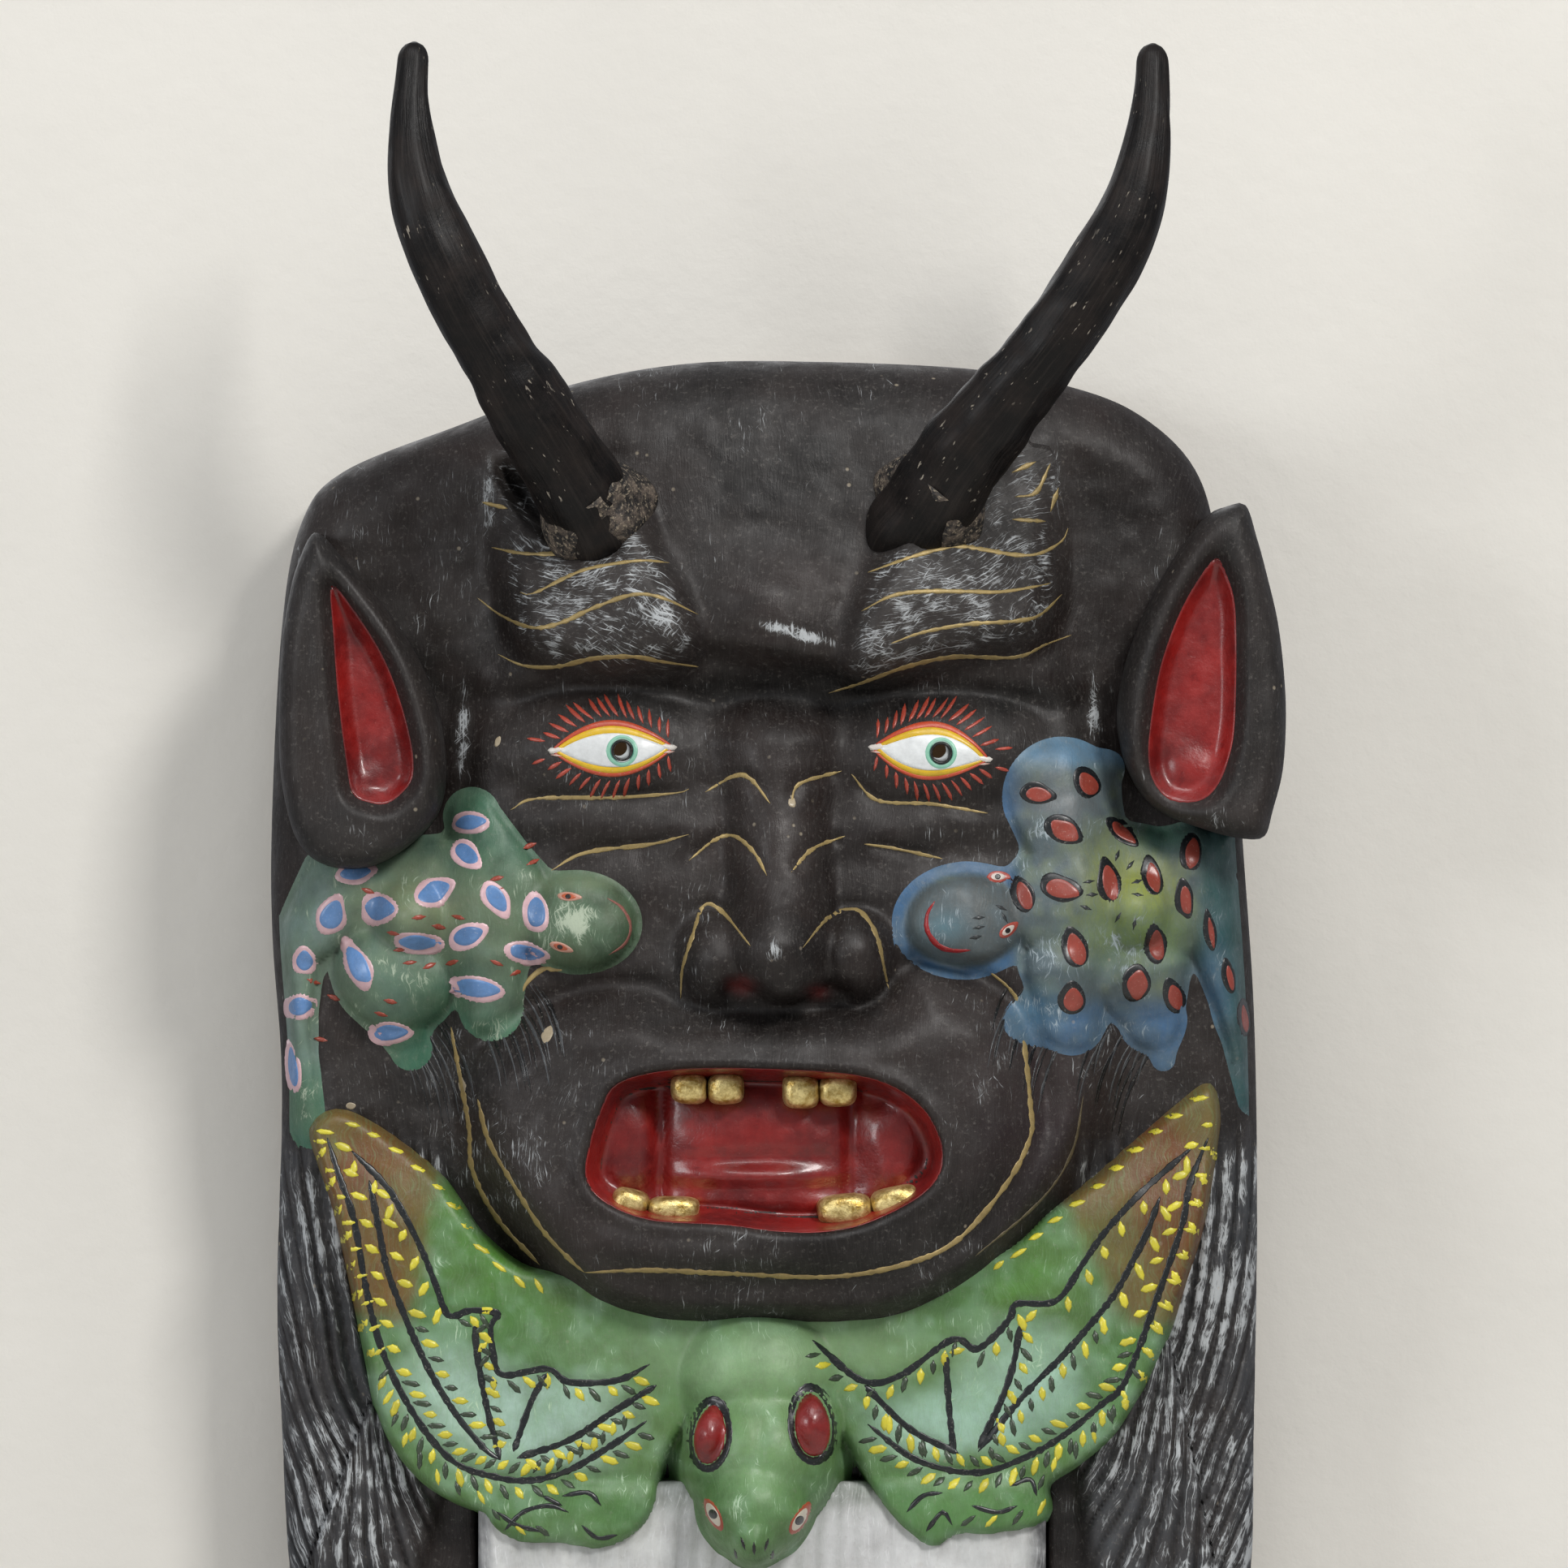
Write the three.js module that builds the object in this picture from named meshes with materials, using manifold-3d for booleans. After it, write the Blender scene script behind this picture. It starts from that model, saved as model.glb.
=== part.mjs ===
// Horned devil mask: one hollowed wooden block with applied carvings (ears, toads, bat and beard),
// real horns on wooden cores, gilded teeth, and a D-ring hanger let into the back.
// Millimetres, +Z up, the face looks along -Y. Y = 0 is the plane of the back rim. The origin lies in
// that plane, on the centre line, near the top of the head. "depth" below is a distance forward of it.
import * as THREE from "three";
import { mergeVertices } from "three/addons/utils/BufferGeometryUtils.js";
import Module from "manifold-3d";

const wasm = await Module();
wasm.setup();

// ---- Driving dimensions ----
const GAP = 0.3; // clearance between neighbouring pieces
const SEAT_GAP = 0.45; // clearance under a carving that is scribed to the block
const SLAB_DEPTH = 64; // front plane of the block at the temples and the hair
const SLAB_ROUND = { depth: 34, inset: 22 }; // how the block's front edge rounds over
const CAVITY = { x: -4, z: -198, halfWidth: 122, halfHeight: 131, depth: 50, round: 28 };
const CAVITY_SQUARENESS = 3.2; // exponent of the superellipse that outlines the hollow
const BEARD_SEAT_DEPTH = 46; // the block is flat here behind the beard
const BEARD = { left: -92, right: 83, top: -334, front: 76, round: 6 };
const EAR_BACK = 64.4;
const EAR_FRONT = 88;
const PEEP_HOLE_RADIUS = 3.2;
const PUPILS = [
  { x: -47.5, z: -108.8 },
  { x: 50.5, z: -109.5 },
];
const MOUTH = { x: -3.5, z: -232, width: 111, height: 47, floor: 76 };
const DOWEL_RADIUS = 3;
const POCKET = { halfWidth: 15, bottom: -54, top: -6, depth: 7 };
const RING_WIRE = 1.3;
const RING_PIVOT = { z: -30, depth: 3.8 };
const RING_DROP = 21.3; // from the pivot to the wire's centre at the ring's far end
const STRAP = { halfWidth: 4.5, top: -10.5, thickness: 1.2, knuckle: 2.75, bore: 1.55 };
const SCREW = { head: 3, headHeight: 2, shank: 1.6, tip: 22, heights: [-14.8, -22] };

// ---- Helpers: from three.js geometry to solids and back ----
const at = (x, z, depth) => new THREE.Vector3(x, -depth, z);

function toSolid(geometry) {
  const bare = new THREE.BufferGeometry();
  bare.setAttribute("position", geometry.getAttribute("position"));
  bare.setIndex(geometry.index);
  const merged = mergeVertices(bare, 1e-4);
  return new wasm.Manifold(
    new wasm.Mesh({
      numProp: 3,
      vertProperties: merged.attributes.position.array,
      triVerts: new Uint32Array(merged.index.array),
    }),
  );
}

function toGeometry(solid) {
  const mesh = solid.getMesh();
  const positions = new Float32Array(mesh.numVert * 3);
  for (let i = 0; i < mesh.numVert; i++) {
    positions.set(mesh.vertProperties.subarray(i * mesh.numProp, i * mesh.numProp + 3), i * 3);
  }
  const geometry = new THREE.BufferGeometry();
  geometry.setAttribute("position", new THREE.BufferAttribute(positions, 3));
  geometry.setIndex(new THREE.BufferAttribute(new Uint32Array(mesh.triVerts), 1));
  geometry.computeVertexNormals();
  return geometry;
}

const join = (...solids) => solids.flat().reduce((whole, part) => whole.add(part));
const cut = (solid, ...tools) => tools.flat().reduce((left, tool) => left.subtract(tool), solid);
// The largest piece that a cut leaves, without the slivers beside it.
const mainBody = (solid) => solid.decompose().sort((a, b) => b.volume() - a.volume())[0];

function box(xs, depths, zs) {
  const geometry = new THREE.BoxGeometry(xs[1] - xs[0], depths[1] - depths[0], zs[1] - zs[0]);
  const centre = at((xs[0] + xs[1]) / 2, (zs[0] + zs[1]) / 2, (depths[0] + depths[1]) / 2);
  return toSolid(geometry.translate(centre.x, centre.y, centre.z));
}

// An ellipsoid of half-widths rx, rz and rd along X, Z and depth, tilted in the plane of the face.
function blob({ x, z, d, rx, rz, rd, tilt = 0 }, grow = 0, detail = [11, 7]) {
  const geometry = new THREE.SphereGeometry(1, ...detail);
  geometry.scale(rx + grow, rd + grow, rz + grow);
  geometry.rotateY(THREE.MathUtils.degToRad(tilt));
  return toSolid(geometry.translate(x, -d, z));
}

// A round bar straight along the depth axis.
function post(x, z, depths, radius, sides = 12) {
  const geometry = new THREE.CylinderGeometry(radius, radius, depths[1] - depths[0], sides);
  return toSolid(geometry.translate(x, -(depths[0] + depths[1]) / 2, z));
}

// A bar of changing radius along a curve, closed at both ends.
function taperedRod(path, radiusAt, rings = 14, sides = 10) {
  const frames = path.computeFrenetFrames(rings);
  const geometry = new THREE.CylinderGeometry(1, 1, 1, sides, rings);
  const position = geometry.getAttribute("position");
  for (let i = 0; i < position.count; i++) {
    const t = position.getY(i) + 0.5;
    const ring = Math.round(t * rings);
    const point = path.getPointAt(t);
    point.addScaledVector(frames.normals[ring], position.getX(i) * radiusAt(t));
    point.addScaledVector(frames.binormals[ring], -position.getZ(i) * radiusAt(t));
    position.setXYZ(i, point.x, point.y, point.z);
  }
  return toSolid(geometry);
}

// Part of another curve, by its share of the length.
class Stretch extends THREE.Curve {
  constructor(whole, from, to) {
    super();
    Object.assign(this, { whole, from, to });
  }
  getPoint(t) {
    return this.whole.getPointAt(THREE.MathUtils.lerp(this.from, this.to, t));
  }
}

const smoothOutline = (points, divisions) =>
  new THREE.CatmullRomCurve3(points.map(([x, z]) => new THREE.Vector3(x, z, 0)), true, "centripetal")
    .getPoints(divisions)
    .slice(0, -1)
    .map((p) => new THREE.Vector2(p.x, p.y));

// An outline in the plane of the face, extruded between two depths, its edges rounded at both.
function plate(points, depths, { round = 0, inset = round, steps = 3, grow = 0 } = {}) {
  const geometry = new THREE.ExtrudeGeometry(new THREE.Shape(points), {
    depth: depths[1] - depths[0] + 2 * grow - 2 * round,
    bevelEnabled: round > 0,
    bevelThickness: round,
    bevelSize: inset,
    bevelOffset: grow - inset,
    bevelSegments: steps,
  });
  geometry.translate(0, 0, depths[0] - grow + round);
  return toSolid(geometry.rotateX(Math.PI / 2));
}

// ---- The block ----
const BLOCK_OUTLINE = smoothOutline(
  [
    [8, 12.3], [60, 10], [93, 4], [116, -5], [131, -20], [138, -45], [142, -85], [145, -137],
    [148, -190], [149.5, -252], [148.5, -320], [146, -370], [138, -399], [112, -409], [50, -411],
    [-55, -411], [-118, -409], [-143, -399], [-151, -370], [-154, -320], [-155.5, -277],
    [-154, -212], [-157, -165], [-157, -127], [-154, -70], [-148, -37], [-137, -23], [-99, -7.5],
    [-64, 5], [-29, 11.5],
  ],
  46,
);

// The modelling of the face, as ellipsoids that stand out of the block.
const FACE = {
  face_dome: { x: -3, z: -132, d: 22, rx: 138, rz: 136, rd: 60, wide: true },
  forehead: { x: 0, z: -48, d: 30, rx: 112, rz: 54, rd: 50, wide: true },
  brow_pad_left: { x: -57, z: -52, d: 62, rx: 36, rz: 36, rd: 32 },
  brow_pad_right: { x: 56, z: -52, d: 62, rx: 35, rz: 36, rd: 32 },
  brow_ridge_left: { x: -54, z: -80, d: 74, rx: 42, rz: 12, rd: 20, tilt: -4 },
  brow_ridge_right: { x: 54, z: -80, d: 74, rx: 42, rz: 12, rd: 20, tilt: 6 },
  glabella: { x: 0, z: -78, d: 70, rx: 26, rz: 16, rd: 27 },
  nose_tip: { x: -2, z: -168, d: 96, rx: 18, rz: 17, rd: 21 },
  nose_wing_left: { x: -18, z: -171, d: 86, rx: 14, rz: 15, rd: 20 },
  nose_wing_right: { x: 20, z: -171, d: 86, rx: 14, rz: 15, rd: 20 },
  pouch_left: { x: -52, z: -133, d: 66, rx: 36, rz: 9, rd: 16 },
  pouch_right: { x: 51, z: -133, d: 66, rx: 34, rz: 9, rd: 16 },
  cheek_left: { x: -68, z: -165, d: 48, rx: 46, rz: 38, rd: 30 },
  cheek_right: { x: 64, z: -165, d: 48, rx: 46, rz: 38, rd: 30 },
  muzzle: { x: -7, z: -230, d: 58, rx: 90, rz: 52, rd: 40, wide: true },
  jaw: { x: -3, z: -222, d: 36, rx: 106, rz: 66, rd: 46, wide: true },
  upper_lip: { x: -4, z: -199, d: 76, rx: 56, rz: 13, rd: 24 },
  chin: { x: -5, z: -271, d: 66, rx: 72, rz: 17, rd: 28 },
};
const EYE_SOCKETS = [
  { x: -51, z: -108, d: 100, rx: 37, rz: 17, rd: 30, tilt: -3 },
  { x: 48, z: -109, d: 100, rx: 37, rz: 17, rd: 30, tilt: 3 },
];
const EYEBALLS = [
  { x: -51, z: -109, d: 60, rx: 27, rz: 14, rd: 18 },
  { x: 48, z: -109.5, d: 60, rx: 27, rz: 14, rd: 18 },
];
const NOSTRILS = [
  { x: -9, z: -184, d: 100, rx: 5, rz: 7, rd: 9 },
  { x: 13, z: -184, d: 100, rx: 5, rz: 7, rd: 9 },
];

const NOSE_BRIDGE = new THREE.CatmullRomCurve3([at(0, -88, 74), at(0, -125, 83), at(-1.5, -164, 97)]);

function superellipse(cx, cz, halfWidth, halfHeight, squareness, count) {
  return Array.from({ length: count }, (_, i) => {
    const angle = (i / count) * 2 * Math.PI;
    const bend = (v) => Math.sign(v) * Math.abs(v) ** (2 / squareness);
    return new THREE.Vector2(
      cx + halfWidth * bend(Math.cos(angle)),
      cz + halfHeight * bend(Math.sin(angle)),
    );
  });
}

// The uncut block and face. grow makes it larger all over, as the tool that scribes a carving to it.
function facedBlock(grow = 0) {
  const slab = plate(BLOCK_OUTLINE, [-SLAB_ROUND.depth - 20, SLAB_DEPTH], {
    round: SLAB_ROUND.depth,
    inset: SLAB_ROUND.inset,
    grow,
  });
  const relief = Object.values(FACE).map((part) => blob(part, grow, part.wide ? [18, 9] : [11, 7]));
  const bridge = taperedRod(NOSE_BRIDGE, (t) => 13 + 5 * t + grow, 5, 12);
  const sockets = EYE_SOCKETS.map((part) => blob(part, -grow, [14, 8]));
  const eyeballs = EYEBALLS.map((part) => blob(part, grow, [14, 8]));
  const nostrils = NOSTRILS.map((part) => blob(part, -grow, [8, 6]));
  const behindRim = box([-200, 200], [-80, 0], [-500, 60]);
  const beardSeat = box(
    [BEARD.left - GAP + grow, BEARD.right + GAP - grow],
    [BEARD_SEAT_DEPTH + grow, 200],
    [-460, BEARD.top + GAP - grow],
  );
  const modelled = cut(join(slab, relief, bridge), sockets, beardSeat);
  return cut(join(modelled, eyeballs), nostrils, behindRim);
}

const mouthOutline = superellipse(MOUTH.x, MOUTH.z, MOUTH.width / 2, MOUTH.height / 2, 2.8, 20);

function hollow() {
  const outline = superellipse(
    CAVITY.x, CAVITY.z, CAVITY.halfWidth, CAVITY.halfHeight, CAVITY_SQUARENESS, 36,
  );
  return plate(outline, [-CAVITY.round - 10, CAVITY.depth], { round: CAVITY.round, inset: 24 });
}

// ---- Horns: a hollow sheath on a wooden core, both along one curve ----
const HORN_SIDES = {
  left: [
    [-43, -61, 50], [-50, -49, 66], [-56, -37, 82], [-67, -18, 97], [-80, 3, 109], [-96, 31, 117],
    [-107.5, 58, 119], [-111.5, 82, 116], [-110.5, 107.5, 110],
  ],
  right: [
    [30, -61, 50], [37, -49, 66], [44, -37, 82], [57, -18, 97], [74, 3, 109], [92, 27, 117],
    [107, 53, 119], [113.5, 80, 116], [115, 107, 110],
  ],
};
const SHEATH_START = 0.1; // shares of the curve's length
const SHEATH_HOLLOW_END = 0.56;
const CORE_END = 0.54;
const SHEATH_WALL = 3;
const NAIL_AT = 0.34;

// The sheath's outer radius at a share of the curve's length, rounded off at the tip.
function hornRadius(share) {
  const taper = THREE.MathUtils.lerp(15.2, 10.2, Math.min(share / 0.7, 1));
  const tip = THREE.MathUtils.smoothstep(share, 0.68, 1) * 5.8;
  const nose = share > 0.97 ? Math.sqrt(Math.max(0, 1 - ((share - 0.97) / 0.031) ** 2)) : 1;
  return (taper - tip) * Math.max(nose, 0.2);
}

function hornPieces(points) {
  const path = new THREE.CatmullRomCurve3(points.map(([x, z, d]) => at(x, z, d)), false, "centripetal");
  const rod = (from, to, inset, rings = 14) =>
    taperedRod(
      new Stretch(path, from, to),
      (t) => hornRadius(THREE.MathUtils.lerp(from, to, t)) - inset,
      rings,
    );
  const nailPoint = path.getPointAt(NAIL_AT);
  const across = path.getTangentAt(NAIL_AT).cross(new THREE.Vector3(1, 0, 0)).normalize();
  const nailAxis = across.z < 0 ? across.negate() : across; // out of the horn's upper, hidden side
  const reach = hornRadius(NAIL_AT);
  const pinAlong = (radius, from, to) => {
    const geometry = new THREE.CylinderGeometry(radius, radius, to - from, 8);
    geometry.translate(0, (from + to) / 2, 0);
    geometry.applyQuaternion(
      new THREE.Quaternion().setFromUnitVectors(new THREE.Vector3(0, 1, 0), nailAxis),
    );
    return toSolid(geometry.translate(nailPoint.x, nailPoint.y, nailPoint.z));
  };
  const nailHole = pinAlong(1.3, -4, reach + 20);
  const foot = path.getPointAt(0.235);
  return {
    sheath: cut(
      rod(SHEATH_START, 1, 0, 17),
      rod(SHEATH_START - 0.05, SHEATH_HOLLOW_END, SHEATH_WALL, 10),
      nailHole,
    ),
    core: cut(rod(0.01, CORE_END, SHEATH_WALL + GAP, 10), nailHole),
    nail: join(pinAlong(1, -3.5, reach + 1), pinAlong(2.1, reach + GAP, reach + 1.4)),
    // the tools that bore the socket in the block
    socket: [
      rod(0, 0.5, SHEATH_WALL - GAP, 10),
      rod(SHEATH_START - 0.004, 0.6, -GAP, 12),
    ],
    grownSheath: rod(SHEATH_START - 0.02, 0.6, -GAP, 12),
    foot,
  };
}

// ---- Ears ----
const EAR_OUTLINES = {
  left: [
    [-143, -41], [-129, -54], [-114, -75], [-104, -97], [-102, -117], [-107, -132], [-125, -144.5],
    [-143, -143], [-151, -127], [-153, -102], [-152.5, -77], [-149, -55],
  ],
  right: [
    [144, -33.5], [133, -36], [121, -52], [111, -72], [105, -97], [109, -115], [121, -129],
    [136, -134], [150, -135], [156, -115], [156.5, -87], [151, -55],
  ],
};
const EAR_BOWLS = {
  left: { x: -129, z: -96, d: 96, rx: 13, rz: 34, rd: 15, tilt: -12 },
  right: { x: 131, z: -89, d: 96, rx: 16, rz: 38, rd: 15, tilt: 8 },
};
const EAR_DOWELS = {
  left: { upper: [-128, -76], lower: [-124, -122] },
  right: { upper: [124, -70], lower: [126, -116] },
};

const ear = (side, grow = 0) =>
  cut(
    plate(smoothOutline(EAR_OUTLINES[side], 26), [EAR_BACK, EAR_FRONT], { round: 4, grow }),
    blob(EAR_BOWLS[side], -grow),
  );

// ---- Toads on the cheeks ----
const TOADS = {
  left: {
    parts: [
      { x: -60, z: -160, d: 78, rx: 19, rz: 15, rd: 15, tilt: 4 },
      { x: -102, z: -159, d: 70, rx: 37, rz: 20, rd: 18 },
      { x: -92, z: -134, d: 70, rx: 10, rz: 17, rd: 12, tilt: 8 },
      { x: -92, z: -180, d: 72, rx: 13, rz: 14, rd: 14 },
      { x: -118, z: -184, d: 64, rx: 20, rz: 21, rd: 18, tilt: -20 },
    ],
    hindLeg: [[-128, -152, 66], [-144, -165, 56], [-150, -195, 48], [-145, -222, 50]],
  },
  right: {
    parts: [
      { x: 58, z: -161, d: 78, rx: 24, rz: 16, rd: 15, tilt: 8 },
      { x: 102, z: -156, d: 70, rx: 38, rz: 24, rd: 18 },
      { x: 86, z: -128, d: 68, rx: 17, rz: 20, rd: 14 },
      { x: 88, z: -182, d: 70, rx: 14, rz: 18, rd: 15 },
      { x: 116, z: -186, d: 64, rx: 16, rz: 17, rd: 16 },
    ],
    hindLeg: [[122, -148, 66], [136, -160, 58], [143, -190, 48], [146, -214, 40]],
  },
};
const TOAD_DOWELS = {
  left: { front: [-78, -160], rear: [-112, -160] },
  right: { front: [76, -160], rear: [110, -158] },
};

function toad(side) {
  const { parts, hindLeg } = TOADS[side];
  const leg = taperedRod(
    new THREE.CatmullRomCurve3(hindLeg.map(([x, z, d]) => at(x, z, d))),
    (t) => 10 - 4.5 * t,
    8,
    10,
  );
  return join(parts.map((part) => blob(part)), leg);
}

// ---- Bat under the chin ----
const BAT_WINGS = {
  left: [
    [-140.5, -224], [-139, -240], [-132, -268], [-127, -300], [-119, -325], [-105, -340],
    [-88, -346], [-72, -353], [-53, -353], [-40, -343], [-30, -320], [-24, -300], [-34, -290],
    [-56, -286], [-76, -277], [-91, -264], [-102, -248], [-113, -234], [-128, -224],
  ],
  right: [
    [133, -214], [137, -226], [133, -248], [125, -277], [117, -300], [103, -318], [84, -333],
    [79, -346], [62, -350], [46, -354], [33, -344], [18, -322], [12, -300], [21, -290],
    [44, -286], [66, -276], [83, -260], [98, -245], [116, -228],
  ],
};
const BAT_BODY = [
  { x: -6, z: -307, d: 82, rx: 30, rz: 28, rd: 18 },
  { x: -6, z: -330, d: 92, rx: 24, rz: 22, rd: 20 },
  { x: -6.5, z: -345, d: 95, rx: 13, rz: 15, rd: 16 },
];
const BAT_WING_DEPTHS = [52, 79];
const BAT_DOWELS = { left: [-70, -316], right: [58, -314] };

const bat = (grow = 0) =>
  join(
    plate(smoothOutline(BAT_WINGS.left, 28), BAT_WING_DEPTHS, { round: 4, steps: 2, grow }),
    plate(smoothOutline(BAT_WINGS.right, 28), BAT_WING_DEPTHS, { round: 4, steps: 2, grow }),
    BAT_BODY.map((part) => blob(part, grow)),
  );

// ---- Beard ----
const BEARD_OUTLINE = [
  [BEARD.left, BEARD.top], [BEARD.left + 1, -372], [-86, -402], [-62, -414], [-40, -421],
  [-5, -427], [32, -421], [54, -413], [77, -401], [BEARD.right - 1, -372], [BEARD.right, BEARD.top],
].map(([x, z]) => new THREE.Vector2(x, z));
const BEARD_DOWELS = { left: [-60, -385], right: [52, -385] };

const beard = (grow = 0) =>
  plate(BEARD_OUTLINE, [BEARD_SEAT_DEPTH + GAP, BEARD.front], { round: BEARD.round, grow });

// ---- Mouth: tongue and teeth, pegged into the mouth's floor ----
const TONGUE = [
  { x: -7, z: -238, d: 80, rx: 27, rz: 13, rd: 11 },
  { x: -8, z: -243, d: 85, rx: 23, rz: 7, rd: 9 },
];
const TEETH = {
  tooth_upper_left_outer: { x: -26.5, z: -213, width: 9.6, height: 8 },
  tooth_upper_left_inner: { x: -16, z: -213, width: 9.6, height: 8.4 },
  tooth_upper_right_inner: { x: 12, z: -213.5, width: 10, height: 9 },
  tooth_upper_right_outer: { x: 22.3, z: -213, width: 8.6, height: 8 },
  tooth_lower_left_outer: { x: -44.5, z: -248, width: 12, height: 7 },
  tooth_lower_left_inner: { x: -30.5, z: -250.5, width: 12, height: 7 },
  tooth_lower_right_inner: { x: 20.5, z: -250.5, width: 13.5, height: 8 },
  tooth_lower_right_outer: { x: 35.5, z: -248, width: 11.5, height: 8 },
};
const TOOTH_FRONT = 96;
const TOOTH_ROOT = 62; // how deep the peg reaches

function tooth({ x, z, width, height }) {
  const crown = superellipse(x, z, width / 2, height / 2, 4, 8);
  const peg = superellipse(x, z, width / 2 - 1.5, height / 2 - 1.5, 4, 8);
  return join(
    plate(crown, [MOUTH.floor + GAP, TOOTH_FRONT], { round: 1.2, steps: 2 }),
    plate(peg, [TOOTH_ROOT, MOUTH.floor + 3]),
  );
}

function toothSocket({ x, z, width, height }) {
  const crown = superellipse(x, z, width / 2 + GAP, height / 2 + GAP, 4, 8);
  const peg = superellipse(x, z, width / 2 - 1.5 + GAP, height / 2 - 1.5 + GAP, 4, 8);
  return join(plate(crown, [MOUTH.floor - 0.2, 140]), plate(peg, [TOOTH_ROOT - GAP, MOUTH.floor]));
}

// ---- Hanger ----
function hangerRing() {
  const corner = RING_DROP / 2;
  const outline = [
    [-8, 0], [-4, 0], [0, 0], [4, 0], [8, 0], [corner, -3], [corner, -9], [7.6, -17],
    [0, -RING_DROP], [-7.6, -17], [-corner, -9], [-corner, -3],
  ];
  const loop = new THREE.CatmullRomCurve3(
    outline.map(([x, z]) => at(x, RING_PIVOT.z + z, RING_PIVOT.depth)), true, "centripetal",
  );
  return toSolid(new THREE.TubeGeometry(loop, 36, RING_WIRE, 6, true));
}

function barAcross(radius, halfLength, sides = 16) {
  const geometry = new THREE.CylinderGeometry(radius, radius, 2 * halfLength, sides);
  geometry.rotateZ(Math.PI / 2);
  return toSolid(geometry.translate(0, -RING_PIVOT.depth, RING_PIVOT.z));
}

const strapFace = POCKET.depth - GAP - STRAP.thickness;
const screwHoles = (radius, end) => SCREW.heights.map((z) => post(0, z, [-20, end], radius));

function hangerStrap() {
  const leaf = box(
    [-STRAP.halfWidth, STRAP.halfWidth],
    [strapFace, POCKET.depth - GAP],
    [RING_PIVOT.z, STRAP.top],
  );
  return cut(
    join(leaf, barAcross(STRAP.knuckle, STRAP.halfWidth)),
    barAcross(STRAP.bore, STRAP.halfWidth + 2),
    screwHoles(SCREW.shank + GAP, SCREW.tip),
  );
}

function hangerScrew(z) {
  const headBase = strapFace - GAP;
  const profile = [
    [0, headBase - SCREW.headHeight], [SCREW.head * 0.6, headBase - SCREW.headHeight],
    [SCREW.head, headBase - 0.7], [SCREW.head, headBase], [SCREW.shank, headBase],
    [SCREW.shank, SCREW.tip - 5], [0, SCREW.tip],
  ].map(([r, depth]) => new THREE.Vector2(r, -depth));
  const geometry = new THREE.LatheGeometry(profile.reverse(), 14);
  return toSolid(geometry.translate(0, 0, z));
}

// ---- Assembly ----
const horns = { left: hornPieces(HORN_SIDES.left), right: hornPieces(HORN_SIDES.right) };
const SIDES = ["left", "right"];

const dowels = {}; // name: [x, z, from depth, to depth]
for (const side of SIDES) {
  for (const [end, spot] of Object.entries(EAR_DOWELS[side])) {
    dowels[`ear_dowel_${side}_${end}`] = [...spot, 50, 76];
  }
  for (const [end, spot] of Object.entries(TOAD_DOWELS[side])) {
    dowels[`toad_dowel_${side}_${end}`] = [...spot, 58, 82];
  }
  dowels[`bat_dowel_${side}`] = [...BAT_DOWELS[side], 54, 74];
  dowels[`beard_dowel_${side}`] = [...BEARD_DOWELS[side], 26, 66];
}
dowels.tongue_dowel = [-7, -240, 62, 86];

const dowelHoles = (wanted) =>
  Object.entries(dowels)
    .filter(([name]) => name.startsWith(wanted))
    .map(([, [x, z, from, to]]) => post(x, z, [from - GAP, to + GAP], DOWEL_RADIUS + GAP));

const grownBlock = facedBlock(SEAT_GAP);
const earSolids = { left: ear("left"), right: ear("right") };
const grownEars = [ear("left", GAP), ear("right", GAP)];
const grownBat = bat(GAP);

const maskBlock = mainBody(
  cut(
    facedBlock(),
    hollow(),
    plate(mouthOutline, [MOUTH.floor, 140]),
    horns.left.socket,
    horns.right.socket,
    dowelHoles(""),
    Object.values(TEETH).map(toothSocket),
    PUPILS.map(({ x, z }) => post(x, z, [0, 140], PEEP_HOLE_RADIUS)),
    box(
      [-POCKET.halfWidth, POCKET.halfWidth],
      [-10, POCKET.depth],
      [POCKET.bottom, POCKET.top],
    ),
    screwHoles(SCREW.shank + GAP, SCREW.tip + GAP),
  ),
);

const solids = { mask_block: maskBlock };
for (const side of SIDES) {
  const { sheath, core, nail, grownSheath, foot } = horns[side];
  solids[`horn_${side}`] = mainBody(sheath);
  solids[`horn_core_${side}`] = core;
  solids[`horn_nail_${side}`] = nail;
  const filler = blob({ x: foot.x, z: foot.z, d: -foot.y, rx: 22, rz: 20, rd: 14 });
  solids[`horn_filler_${side}`] = mainBody(cut(filler, grownBlock, grownSheath));
  solids[`ear_${side}`] = mainBody(cut(earSolids[side], grownBlock, dowelHoles(`ear_dowel_${side}`)));
  solids[`toad_${side}`] = mainBody(
    cut(toad(side), grownBlock, grownEars, grownBat, dowelHoles(`toad_dowel_${side}`)),
  );
}
solids.bat = mainBody(cut(bat(), grownBlock, beard(GAP), dowelHoles("bat_dowel")));
solids.beard = mainBody(cut(beard(), dowelHoles("beard_dowel")));
solids.tongue = mainBody(
  cut(
    join(TONGUE.map((part) => blob(part))),
    box([-100, 100], [0, MOUTH.floor + GAP], [-300, -150]),
    dowelHoles("tongue_dowel"),
    Object.values(TEETH).map(toothSocket),
  ),
);
for (const [name, size] of Object.entries(TEETH)) solids[name] = tooth(size);
for (const [name, [x, z, from, to]] of Object.entries(dowels)) {
  solids[name] = post(x, z, [from, to], DOWEL_RADIUS);
}
solids.hanger_strap = hangerStrap();
solids.hanger_ring = hangerRing();
SCREW.heights.forEach((z, i) => (solids[`hanger_screw_${i ? "lower" : "upper"}`] = hangerScrew(z)));

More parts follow.
